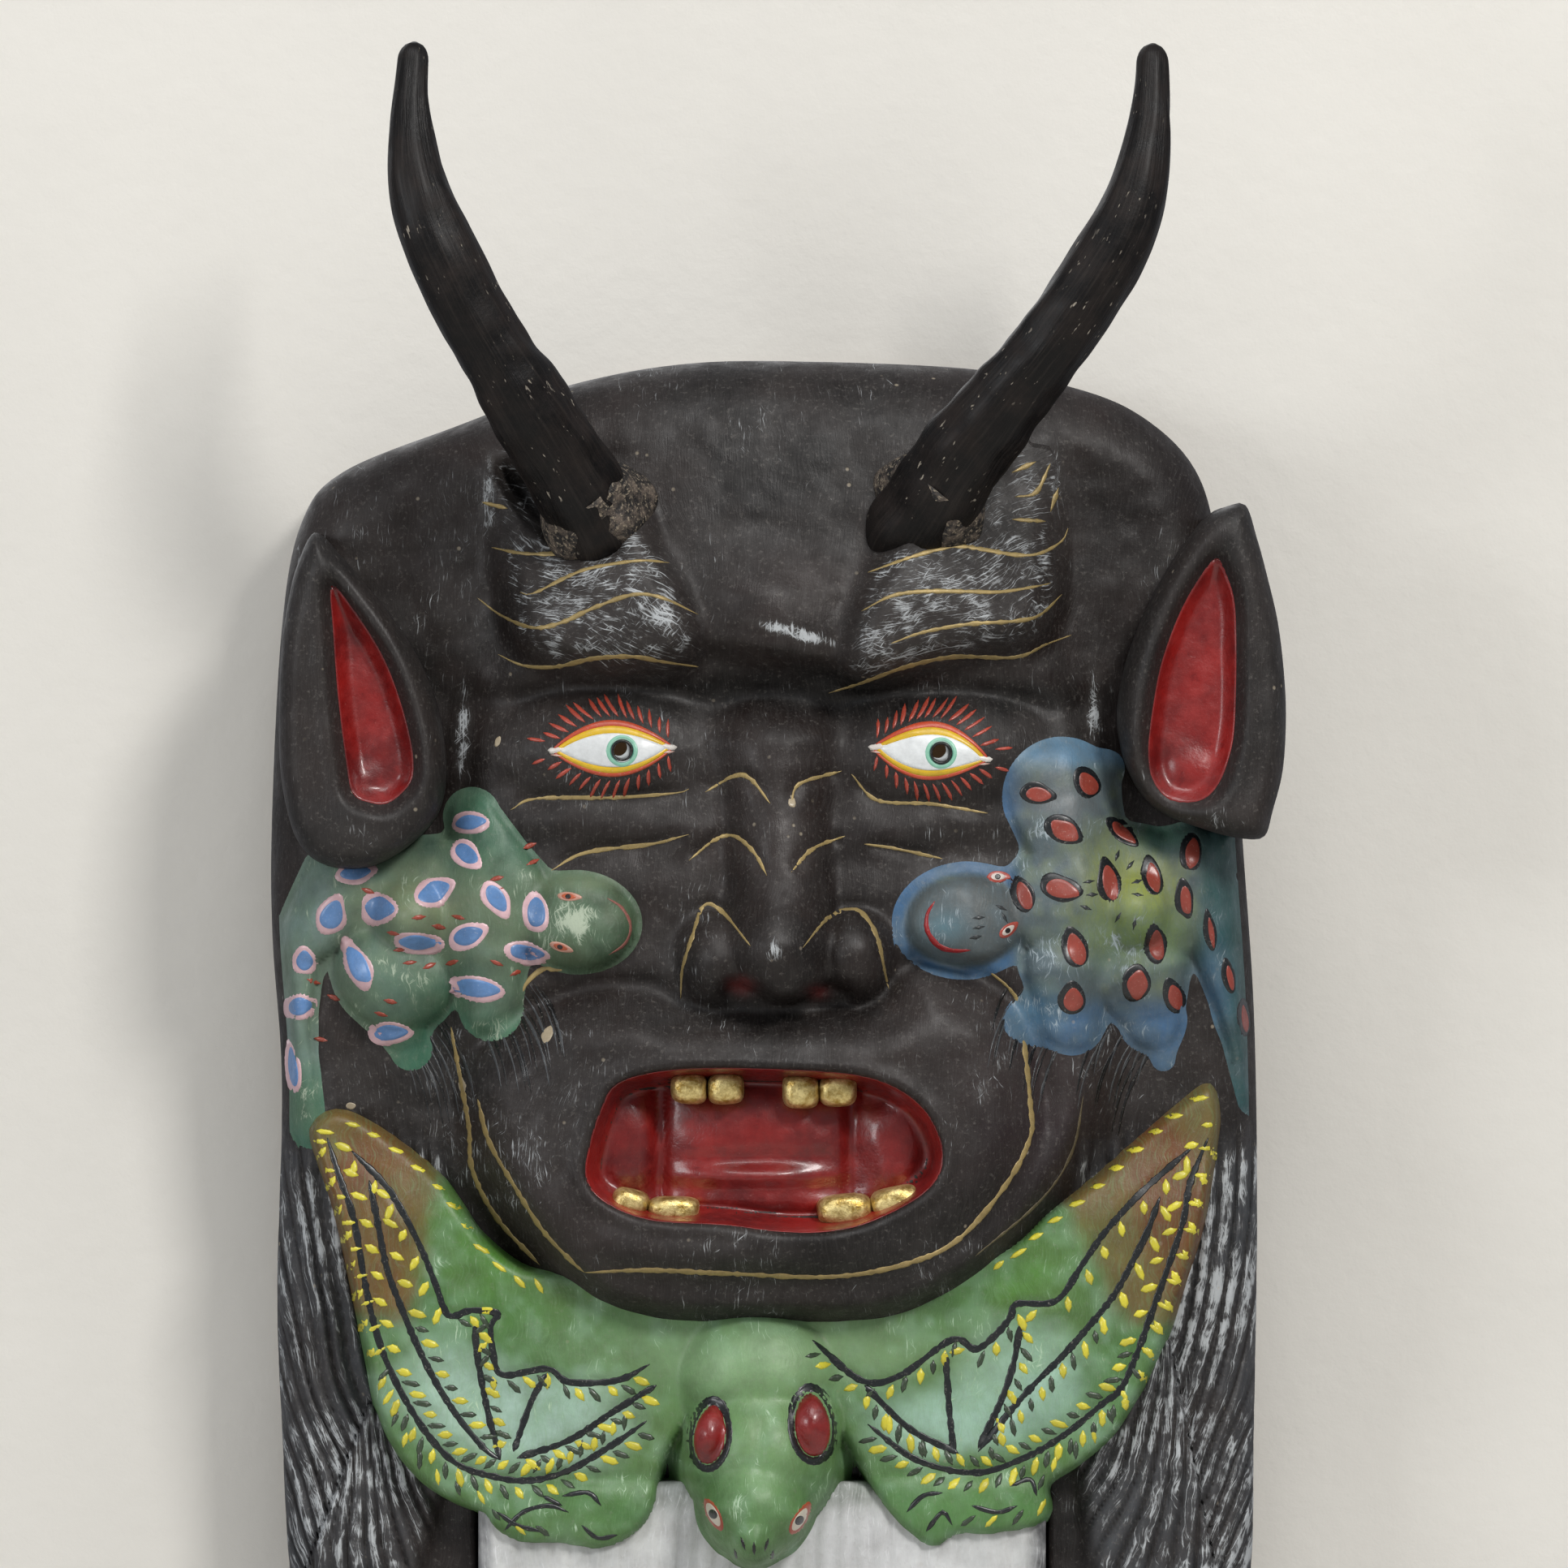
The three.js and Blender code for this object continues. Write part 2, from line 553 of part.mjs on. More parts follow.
// ---- Materials ----
const finish = (color, roughness, metalness = 0) =>
  new THREE.MeshStandardMaterial({ color, roughness, metalness });
const MATERIALS = {
  black_paint: finish(0x2a2725, 0.6),
  horn: finish(0x1c1a19, 0.4),
  toad_green: finish(0x3f6b4c, 0.5),
  toad_blue: finish(0x4d6f86, 0.5),
  bat_green: finish(0x5f9a5a, 0.55),
  beard_white: finish(0xb9bbbc, 0.7),
  mouth_red: finish(0x9c1620, 0.35),
  gilding: finish(0xc8a24a, 0.4, 0.8),
  bare_wood: finish(0xb08a5c, 0.8),
  putty: finish(0x8a7a6a, 0.9),
  steel: finish(0x9a9a98, 0.4, 0.9),
};
const MATERIAL_OF = [
  [/^(mask_block|ear_(left|right))$/, "black_paint"],
  [/^horn_(left|right)$/, "horn"],
  [/^toad_left$/, "toad_green"],
  [/^toad_right$/, "toad_blue"],
  [/^bat$/, "bat_green"],
  [/^beard$/, "beard_white"],
  [/^tongue$/, "mouth_red"],
  [/^tooth_/, "gilding"],
  [/^horn_filler_/, "putty"],
  [/^(hanger_|horn_nail_)/, "steel"],
  [/dowel|core/, "bare_wood"],
];

const mask = new THREE.Group();
for (const [name, solid] of Object.entries(solids)) {
  const [, material] = MATERIAL_OF.find(([pattern]) => pattern.test(name));
  const mesh = new THREE.Mesh(toGeometry(solid), MATERIALS[material]);
  mesh.name = name;
  mask.add(mesh);
}

export default mask;
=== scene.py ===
"""Horned devil mask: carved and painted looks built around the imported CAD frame.

Design numbers are millimetres in the frame's own axes: x to the right, z up, and depth forward from
the wall (depth = -y). MM turns them into metres when a mesh is made.
"""
import math

import bmesh
import bpy
import numpy as np
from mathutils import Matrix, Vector


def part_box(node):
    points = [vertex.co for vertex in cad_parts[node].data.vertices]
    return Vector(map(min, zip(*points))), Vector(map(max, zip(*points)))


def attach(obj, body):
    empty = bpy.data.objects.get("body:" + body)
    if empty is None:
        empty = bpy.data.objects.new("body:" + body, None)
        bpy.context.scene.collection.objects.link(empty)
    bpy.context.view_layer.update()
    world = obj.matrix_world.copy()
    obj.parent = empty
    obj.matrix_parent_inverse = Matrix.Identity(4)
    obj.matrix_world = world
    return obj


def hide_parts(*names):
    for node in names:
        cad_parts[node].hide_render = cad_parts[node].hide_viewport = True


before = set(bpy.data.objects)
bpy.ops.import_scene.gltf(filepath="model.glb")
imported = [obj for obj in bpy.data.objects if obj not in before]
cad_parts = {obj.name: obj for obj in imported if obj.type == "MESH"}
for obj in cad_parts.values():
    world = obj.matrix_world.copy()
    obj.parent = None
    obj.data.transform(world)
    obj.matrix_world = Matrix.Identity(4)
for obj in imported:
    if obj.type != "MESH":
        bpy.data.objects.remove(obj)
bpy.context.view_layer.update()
MM = 0.001
BODY = "mask"


# ---------------------------------------------------------------- curves and distances
def curve(points, closed=False, step=1.5):
    """A smooth line through the points (Catmull-Rom), as an array with a point about every step mm."""
    p = np.array(points, float)
    if closed:
        p = np.vstack([p[-1], p, p[0], p[1]])
    else:
        p = np.vstack([2 * p[0] - p[1], p, 2 * p[-1] - p[-2]])
    out = []
    for a, b, c, d in zip(p[:-3], p[1:-2], p[2:-1], p[3:]):
        n = max(2, int(np.linalg.norm(c - b) / step))
        t = np.linspace(0, 1, n, endpoint=False)[:, None]
        out.append(0.5 * (2 * b + (c - a) * t + (2 * a - 5 * b + 4 * c - d) * t**2
                          + (3 * b - a - 3 * c + d) * t**3))
    if not closed:
        out.append(p[-2][None])
    return np.vstack(out)


def to_line(x, z, line, closed=False):
    """Distance from each point to a polyline, and how far along it (0 to 1) the nearest place is."""
    a = line if closed else line[:-1]
    b = np.roll(line, -1, 0) if closed else line[1:]
    best, along = np.full(x.shape, 1e9), np.zeros(x.shape)
    for i, ((ax, az), (bx, bz)) in enumerate(zip(a, b)):
        ux, uz = bx - ax, bz - az
        t = np.clip(((x - ax) * ux + (z - az) * uz) / max(ux * ux + uz * uz, 1e-9), 0, 1)
        d = (x - ax - t * ux) ** 2 + (z - az - t * uz) ** 2
        nearer = d < best
        best = np.where(nearer, d, best)
        along = np.where(nearer, (i + t) / len(a), along)
    return np.sqrt(best), along


def inside(x, z, outline):
    """Signed distance to a closed outline, positive inside."""
    d, _ = to_line(x, z, outline, closed=True)
    within = np.zeros(x.shape, bool)
    for (ax, az), (bx, bz) in zip(outline, np.roll(outline, -1, 0)):
        if az != bz:
            within ^= ((az > z) != (bz > z)) & (x < (bx - ax) * (z - az) / (bz - az) + ax)
    return np.where(within, d, -d)


def ramp(lo, hi, v):
    t = np.clip((v - lo) / (hi - lo), 0, 1)
    return t * t * (3 - 2 * t)


def higher(a, b, k):
    """The larger of two heights, blended over about k mm."""
    h = np.clip(0.5 + 0.5 * (a - b) / k, 0, 1)
    return b + (a - b) * h + k * h * (1 - h)


def oval(x, z, cx, cz, rx, rz, tilt=0.0):
    """Squared distance from an oval's centre, 1 on its edge."""
    c, s = math.cos(math.radians(tilt)), math.sin(math.radians(tilt))
    u, v = (x - cx) * c + (z - cz) * s, -(x - cx) * s + (z - cz) * c
    return (u / rx) ** 2 + (v / rz) ** 2


def swell(x, z, cx, cz, rx, rz, tilt=0.0, sharp=1.0):
    return np.exp(-oval(x, z, cx, cz, rx, rz, tilt) ** sharp)


def dome(x, z, cx, cz, rx, rz, tilt=0.0, roundness=0.5):
    """1 at the centre and 0 on an oval's edge, falling away below zero outside it."""
    q = oval(x, z, cx, cz, rx, rz, tilt)
    return np.where(q < 1, np.maximum(0, 1 - q) ** roundness, 1.5 * (1 - np.sqrt(q)))


def lumps(x, z, size, seed):
    """Smooth random heights between -1 and 1, with hills about size mm apart."""
    u, v = x / size + 37.3, z / size + 91.7
    i, j = np.floor(u).astype(np.int64), np.floor(v).astype(np.int64)
    fu, fv = u - i, v - j
    fu, fv = fu * fu * (3 - 2 * fu), fv * fv * (3 - 2 * fv)

    def corner(a, b):
        n = (a * 374761393 + b * 668265263 + seed * 974634777) & 0xFFFFFFFF
        n = ((n ^ (n >> 13)) * 1274126177) & 0xFFFFFFFF
        return ((n ^ (n >> 16)) & 0xFFFF) / 32767.5 - 1

    low = corner(i, j) * (1 - fu) + corner(i + 1, j) * fu
    high = corner(i, j + 1) * (1 - fu) + corner(i + 1, j + 1) * fu
    return low * (1 - fv) + high * fv


# ---------------------------------------------------------------- the block's outline and forms
OUTLINE = curve(
    [(8, 12.3), (60, 10), (93, 4), (114, -5), (130, -21), (137, -45), (142, -90), (145, -137), (148.5, -190),
     (149.5, -252), (148.5, -320), (147, -368), (138, -399), (112, -409), (50, -411), (-55, -411),
     (-118, -409), (-143, -399), (-151, -368), (-154, -320), (-155.5, -277), (-154, -212), (-157, -165),
     (-157, -127), (-154, -70), (-148, -38), (-135, -22), (-99, -7.5), (-64, 5),
     (-29, 11.5)], closed=True, step=3)
CORNERS = {"top_left": (-140, -25), "top_right": (125, -15), "low_right": (142, -393),
           "low_left": (-147, -393)}

FACE_EDGE = curve(
    [(-60, 40), (-100, 20), (-98, -30), (-97, -80), (-99, -120), (-104, -160), (-105, -195), (-100, -226),
     (-85, -255), (-64, -278), (-40, -288), (0, -290), (34, -288), (60, -277), (84, -256), (102, -225),
     (108, -190), (106, -150), (102, -112), (98, -80), (97, -30), (100, 20), (60, 40), (0, 45)],
    closed=True, step=4)
BROW_LEFT = curve(
    [(-92, -14), (-91, -35), (-88, -60), (-82, -78), (-68, -86), (-46, -88), (-28, -86), (-21, -77),
     (-24, -62), (-33, -46), (-42, -30), (-56, -15), (-75, -8)], closed=True, step=3)
BROW_RIGHT = curve(
    [(89, -14), (90, -35), (90, -60), (84, -76), (66, -82), (46, -86), (28, -91), (18, -86), (20, -68),
     (27, -50), (36, -32), (50, -16), (68, -8)], closed=True, step=3)
MUZZLE_EDGE = curve(
    [(-40, -184), (-62, -186), (-84, -196), (-96, -210), (-93, -230), (-84, -252), (-62, -268), (-35, -273),
     (0, -273), (36, -270), (58, -260), (76, -240), (80, -222), (77, -200), (66, -184), (44, -176),
     (30, -188), (0, -192), (-28, -190)], closed=True, step=4)
MOUTH_EDGE = curve(
    [(-48.5, -210.5), (-32, -206.5), (-8, -206), (24, -208), (40, -214), (48.5, -223.5), (51, -235),
     (45, -244.5), (29, -253), (15.5, -256), (1, -256), (-16, -254), (-39, -252.5), (-53, -247),
     (-58.5, -240), (-57.5, -230), (-54, -219)], closed=True, step=2.5)
CENTRE_PROFILE = np.array(
    [(-300, 80), (-290, 84), (-282, 91), (-268, 95), (-250, 93), (-210, 92), (-196, 91), (-186, 88),
     (-150, 82), (-120, 80), (-96, 79), (-60, 84), (-35, 80), (-12, 74), (2, 69), (14, 66)])

# Wrinkles that are both cut in and traced in gold paint.
EYE_FOLDS = [
    [(-82, -127), (-74, -123.5), (-49, -123.2), (-31, -121.8), (-27, -120.5)],
    [(-70, -146), (-59, -140.2), (-39, -137.6), (-27, -134.5)],
    [(23, -116), (31, -124), (48, -125.2), (65, -128)],
    [(27, -137.5), (36, -138.8), (51, -142)],
]
NOSE_FOLDS = [
    [(-22, -121.5), (-13, -116.5), (-8, -117.5), (-2, -125)],
    [(-27, -142.5), (-19, -136.2), (-13, -135), (-7, -140), (-3, -147)],
    [(4.5, -125), (7, -119), (20, -115)],
    [(4.5, -146), (11, -139), (21, -135)],
]
WING_FOLDS = [
    [(-29.5, -185), (-29, -176), (-26, -166), (-22.5, -156.5), (-17, -158), (-8, -168.5)],
    [(8, -169), (16, -160), (24.5, -157.5), (30.5, -165), (33.5, -178), (34.5, -182)],
]
EYES = {  # the white of each eye, and its pierced pupil
    "left": {"corners": [(-68, -108.8), (-33, -107.8)], "top": -103.2, "bottom": -114,
             "pupil": (-47.5, -108.8), "iris_r": 4.6, "pupil_r": 3.0},
    "right": {"corners": [(30.5, -107.8), (64, -111.5)], "top": -103.6, "bottom": -115,
              "pupil": (50.5, -109.5), "iris_r": 4.6, "pupil_r": 3.0},
}


def crease(x, z, points, width):
    d, along = to_line(x, z, curve(points, step=3))
    return np.exp(-((d / width) ** 2)) * ramp(0, 0.12, along) * ramp(1.0, 0.88, along)


def nose(x, z):
    """Depth of the nose alone, falling away behind the face outside it."""
    ridge = np.interp(z, [-190, -178, -168, -150, -125, -104, -88], [99, 107, 108, 99, 92.5, 89, 88])
    half = np.interp(z, [-190, -172, -150, -125, -105, -88], [16, 18.5, 18.5, 21, 27, 31])
    off = np.abs(x - np.interp(z, [-185, -90], [2, -1])) / half
    bridge = ridge - 21 * off ** 2.1 - 30 * ramp(-107, -80, z) - 60 * ramp(-183, -190, z)
    tip = 83 + 27 * dome(x, z, 0, -169, 19, 18, 0, 0.7)
    wing_left = 80 + 20 * dome(x, z, -18.5, -173, 13.5, 16, 12, 0.7)
    wing_right = 80 + 20 * dome(x, z, 23, -172, 13.5, 16, -12, 0.7)
    body = higher(higher(bridge, tip, 5), higher(wing_left, wing_right, 2), 3.5)
    pits = 13 * swell(x, z, -9, -184, 8, 3.8, -12, 2) + 13 * swell(x, z, 15, -184.5, 8, 3.8, 12, 2)
    return body - pits


def mouth_floor(x, z):
    """The red inside of the mouth: two cheeks, a tongue with a roll across it, and gum ridges."""
    floor = 79 + 5.5 * swell(x, z, -47, -229, 9.5, 17, 0, 2) + 5 * swell(x, z, 37, -230, 9, 16, 0, 2)
    tongue = 6.0 * swell(x, z, -6.5, -229, 27, 19, 0, 1.8) + 2.6 * swell(x, z, -7, -239.5, 22, 3.2)
    hollow = 1.6 * swell(x, z, -7, -234.5, 21, 3)
    gutters = 3.2 * np.exp(-((x + 36) / 2.4) ** 2) + 3.0 * np.exp(-((x - 23) / 2.4) ** 2)
    lower = 3.5 * swell(x, z, -5, -248, 34, 4.5)
    return floor + tongue - hollow - gutters * ramp(-256, -246, z) + lower


def block_depth(x, z):
    """Front surface of the carved block, without the edge rounding and the hair's grooves."""
    slab = 60 + 4 * (1 - (x / 150) ** 2) + 0.8 * lumps(x, z, 40, 3)
    centre = np.interp(z, CENTRE_PROFILE[:, 0], CENTRE_PROFILE[:, 1])
    side = 1 - np.clip(np.abs(x + 1) / 118, 0, 1) ** 2.4
    face = 66 + (centre - 66) * side
    edge = inside(x, z, FACE_EDGE)
    depth = slab + (face - slab) * ramp(-5, 13 + 46 * ramp(-105, -30, z), edge)
    temple = 3 * swell(x, z, -112, -100, 9, 40) + 3 * swell(x, z, 113, -95, 9, 40)
    depth = depth - temple
    # brow pads, frown and the shadow under them
    for pad in (BROW_LEFT, BROW_RIGHT):
        rise = ramp(-2, 12, inside(x, z, pad))
        depth = depth + rise * (1.5 + 14 * ramp(-10, -74, z))
    frown = z + 0.15 * x
    depth = depth + 12 * np.exp(-((x - 0.5) / 25) ** 2) * ramp(-85, -76, frown) * ramp(-38, -72, frown)
    depth = depth - 10 * swell(x, z, -54, -96, 42, 7.5) - 10 * swell(x, z, 52, -97, 42, 7.5)
    depth = depth - 4 * swell(x, z, -1, -90, 24, 6)
    # eyes and the folds under them
    for cx, cz in ((-50, -110), (48, -111)):
        depth = higher(depth, 70 + 16 * dome(x, z, cx, cz, 39, 23, 0, 0.9), 4.5)
    depth = depth + 3.5 * swell(x, z, -52, -131, 34, 6, -3) + 3.5 * swell(x, z, 48, -132, 30, 6, 4)
    depth = depth + 3.0 * swell(x, z, -52, -149, 30, 7, -4) + 2.5 * swell(x, z, 46, -150, 26, 7, 4)
    # muzzle, lips and chin
    muzzle = inside(x, z, MUZZLE_EDGE)
    depth = (depth + 8.5 * ramp(-2, 15, muzzle)
             - 3.6 * np.exp(-((muzzle + 3) / 3.6) ** 2) * ramp(-240, -208, z))
    depth = depth + 3.0 * swell(x, z, -4, -199, 36, 6) + 3.0 * swell(x, z, -6, -263, 50, 5)
    depth = higher(depth, nose(x, z), 4.5)
    for fold in EYE_FOLDS + NOSE_FOLDS + WING_FOLDS:
        depth = depth - 1.5 * crease(x, z, fold, 2.0)
    # mouth
    mouth = inside(x, z, MOUTH_EDGE)
    lip = 1.6 * np.exp(-((mouth + 1.8) / 2.2) ** 2)
    depth = depth + lip
    depth = depth + (mouth_floor(x, z) - depth) * ramp(-0.8, 5.5, mouth)
    # sockets round the horns' feet
    depth = depth - 15 * swell(x, z, -75, -32, 15, 5, -50, 2) - 5 * swell(x, z, -58, -44, 10, 5, -20, 2)
    depth = depth + 3.5 * swell(x, z, -44, -38, 6, 12, 25, 2) + 3 * swell(x, z, 44, -35, 7, 12, -20, 2)
    return depth + 0.45 * lumps(x, z, 13, 5) + 0.3 * lumps(x, z, 5, 6) + 0.5 * np.abs(lumps(x, z, 19, 9))


# ---------------------------------------------------------------- hair
LEFT_TIP, RIGHT_TIP = (-126, -309), (121, -288)


def hair(x, z):
    """Carved locks: the height they add, where there is hair, how high on a strand a point is, and
    its place across and along the strands."""
    below = ramp(-218, -240, z)
    left = below * ramp(-96, -104, x + 0.25 * np.maximum(0, -z - 320))
    right = below * ramp(88, 96, x - 0.12 * np.maximum(0, -z - 320))
    drop = np.maximum(0, -z - 200)
    wobble = 2.2 * lumps(x, z, 26, 11)
    # locks that sweep down and inwards from the outer edges
    outer_left = x - 34 * (drop / 150) ** 2 + wobble
    outer_right = x + 30 * (drop / 130) ** 2 - 12 * (drop / 130) + wobble

    # locks that fan out from their own tips lower down
    def fan(tip, lean):
        u, v = x - tip[0], tip[1] - z
        return np.arctan2(u, v + 22) * 62 + lean * np.hypot(u, v) * 0.12 + wobble, v

    fan_left, down_left = fan(LEFT_TIP, -1)
    fan_right, down_right = fan(RIGHT_TIP, 1)
    in_left = ramp(0, 3.5, down_left - np.abs(x - LEFT_TIP[0]) * np.where(x < LEFT_TIP[0], 2.6, 0.5))
    in_right = ramp(0, 3.5, down_right - np.abs(x - RIGHT_TIP[0]) * np.where(x > RIGHT_TIP[0], 5.0, 0.7))
    on_left = x < 0
    phase = np.where(on_left, outer_left, outer_right)
    fan_phase = np.where(on_left, fan_left, fan_right)
    in_fan = np.where(on_left, in_left, in_right)

    def strands(p, size):
        return np.abs(np.sin(math.pi * p / size)) ** 0.55

    outer = strands(phase, 5.0) + 0.4 * strands(phase + 1.3, 3.3)
    inner = strands(fan_phase, 4.8) + 0.4 * strands(fan_phase + 0.7, 3.1)
    groove = outer * (1 - in_fan) + inner * in_fan
    seam = np.exp(-(((in_fan - 0.35) / 0.3) ** 2)) * 6
    amount = np.clip(left + right, 0, 1)
    height = amount * (2.8 * groove - 2.8 - seam + 5.0 * in_fan)
    across = np.where(in_fan > 0.5, fan_phase, phase)
    return height, amount, ramp(0.4, 1.3, groove) * amount, across, drop


# ---------------------------------------------------------------- meshes
def set_attribute(mesh, key, values):
    """Stores one number, or a colour or vector of three, on every vertex."""
    values = np.asarray(values, np.float32)
    if values.ndim == 1:
        mesh.attributes.new(key, "FLOAT", "POINT").data.foreach_set("value", values)
    elif key == "tint":
        rgba = np.ones((len(values), 4), np.float32)
        rgba[:, :3] = values
        mesh.attributes.new(key, "FLOAT_COLOR", "POINT").data.foreach_set("color", rgba.ravel())
    else:
        mesh.attributes.new(key, "FLOAT_VECTOR", "POINT").data.foreach_set("vector", values.ravel())


def make_mesh(name, points, faces, material, tint=None, extra=None, smooth=True):
    """A mesh object from points in mm (x, depth, z) and its faces, with optional point attributes."""
    p = np.asarray(points, float)
    mesh = bpy.data.meshes.new(name)
    co = np.stack([p[:, 0], -p[:, 1], p[:, 2]], 1) * MM
    mesh.from_pydata(co.tolist(), [], [tuple(int(i) for i in f) for f in faces])
    mesh.update()
    if tint is not None:
        set_attribute(mesh, "tint", np.broadcast_to(tint, (len(p), 3)))
    for key, values in (extra or {}).items():
        set_attribute(mesh, key, values)
    mesh.polygons.foreach_set("use_smooth", np.full(len(mesh.polygons), smooth))
    mesh.materials.append(material)
    obj = bpy.data.objects.new(name, mesh)
    bpy.context.scene.collection.objects.link(obj)
    return obj


def grid_faces(rows, cols, flip=False):
    i = np.arange(rows - 1)[:, None] * cols + np.arange(cols - 1)[None, :]
    f = np.stack([i, i + 1, i + cols + 1, i + cols], -1).reshape(-1, 4)
    return f[:, ::-1] if flip else f


def ring_faces(first, second, flip=False):
    """Quads between two closed loops of the same length."""
    a, b = np.asarray(first), np.asarray(second)
    f = np.stack([a, np.roll(a, -1), np.roll(b, -1), b], 1)
    return f[:, ::-1] if flip else f


def loft(loops, count, base=0, flip=False, closed=False):
    """Quads along a run of loops with count points each, numbered from base."""
    each = np.arange(count)
    faces = []
    for k in range(loops if closed else loops - 1):
        faces += ring_faces(base + k * count + each, base + (k + 1) % loops * count + each, flip).tolist()
    return faces


def fan(loop, centre):
    """Triangles from a closed loop to the point with the number centre."""
    return [[int(a), int(b), centre] for a, b in zip(loop, np.roll(loop, -1))]


def around(count):
    """Angles evenly round a circle."""
    return np.linspace(0, 2 * math.pi, count, endpoint=False)


def unit(vector):
    return vector / np.linalg.norm(vector)


def vertices_mm(obj, kind=float):
    """A mesh's vertices in mm, as x, y and z columns."""
    co = np.zeros(len(obj.data.vertices) * 3, kind)
    obj.data.vertices.foreach_get("co", co)
    return co.reshape(-1, 3) / MM


def srgb(code):
    """Linear colour of a hex sRGB code such as 'a81c1c'."""
    v = np.array([int(code[i:i + 2], 16) for i in (0, 2, 4)]) / 255
    return np.where(v <= 0.04045, v / 12.92, ((v + 0.055) / 1.055) ** 2.4)


# ---------------------------------------------------------------- materials
def node(tree, kind, inputs=(), **settings):
    """A shader node: inputs are values or sockets, settings are its own properties."""
    made = tree.nodes.new(kind)
    for key, value in settings.items():
        setattr(made, key, value)
    for key, value in dict(inputs).items():
        if isinstance(value, bpy.types.NodeSocket):
            tree.links.new(value, made.inputs[key])
        else:
            made.inputs[key].default_value = value
    return made


def rgba(code):
    return (*srgb(code), 1.0)


def mix(tree, factor, a, b, mode="MIX"):
    return node(tree, "ShaderNodeMix", {0: factor, 6: a, 7: b}, data_type="RGBA", blend_type=mode).outputs[2]


def calc(tree, operation, a, b=0.0):
    return node(tree, "ShaderNodeMath", {0: a, 1: b}, operation=operation, use_clamp=False).outputs[0]


def remap(tree, value, lo, hi, to_lo=0.0, to_hi=1.0):
    keys = {"Value": value, "From Min": lo, "From Max": hi, "To Min": to_lo, "To Max": to_hi}
    return node(tree, "ShaderNodeMapRange", keys).outputs[0]


def noise(tree, at, size, detail=3.0, rough=0.6, distort=0.0):
    """Noise with features about size mm across, where at is in metres."""
    keys = {"Vector": at, "Scale": 1000 / size, "Detail": detail, "Roughness": rough, "Distortion": distort}
    return node(tree, "ShaderNodeTexNoise", keys).outputs[0]


def streaks(tree, at, across, along, detail=3.0, turn=0.0):
    """Noise drawn out into streaks: across and along are its size in mm in the two directions of at."""
    scale = (1000 / across, 1000 / along, 1000 / along)
    placed = node(tree, "ShaderNodeMapping", {"Vector": at, "Rotation": (0, 0, turn)})
    drawn = node(tree, "ShaderNodeMapping", {"Vector": placed.outputs[0], "Scale": scale})
    keys = {"Vector": drawn.outputs[0], "Scale": 1.0, "Detail": detail, "Roughness": 0.65}
    return node(tree, "ShaderNodeTexNoise", keys).outputs[0]


def attribute(tree, name, output="Fac"):
    return node(tree, "ShaderNodeAttribute", attribute_name=name).outputs[output]


def start(name, **constants):
    """A new material with its principled shader's constant sockets set."""
    material = bpy.data.materials.new(name)
    material.use_nodes = True
    tree = material.node_tree
    shader = tree.nodes["Principled BSDF"]
    for key, value in constants.items():
        shader.inputs[key.replace("_", " ").title().replace("Ior", "IOR")].default_value = value
    here = node(tree, "ShaderNodeTexCoord").outputs["Object"]
    return material, tree, shader, here


def connect(tree, shader, colour, roughness, height, bump_mm=0.1):
    """Links colour and roughness, and turns height (0 to 1) into bumps bump_mm high."""
    bump = node(tree, "ShaderNodeBump", {"Height": height, "Distance": bump_mm * MM, "Strength": 1.0})
    tree.links.new(colour, shader.inputs["Base Color"])
    tree.links.new(roughness, shader.inputs["Roughness"])
    tree.links.new(bump.outputs[0], shader.inputs["Normal"])


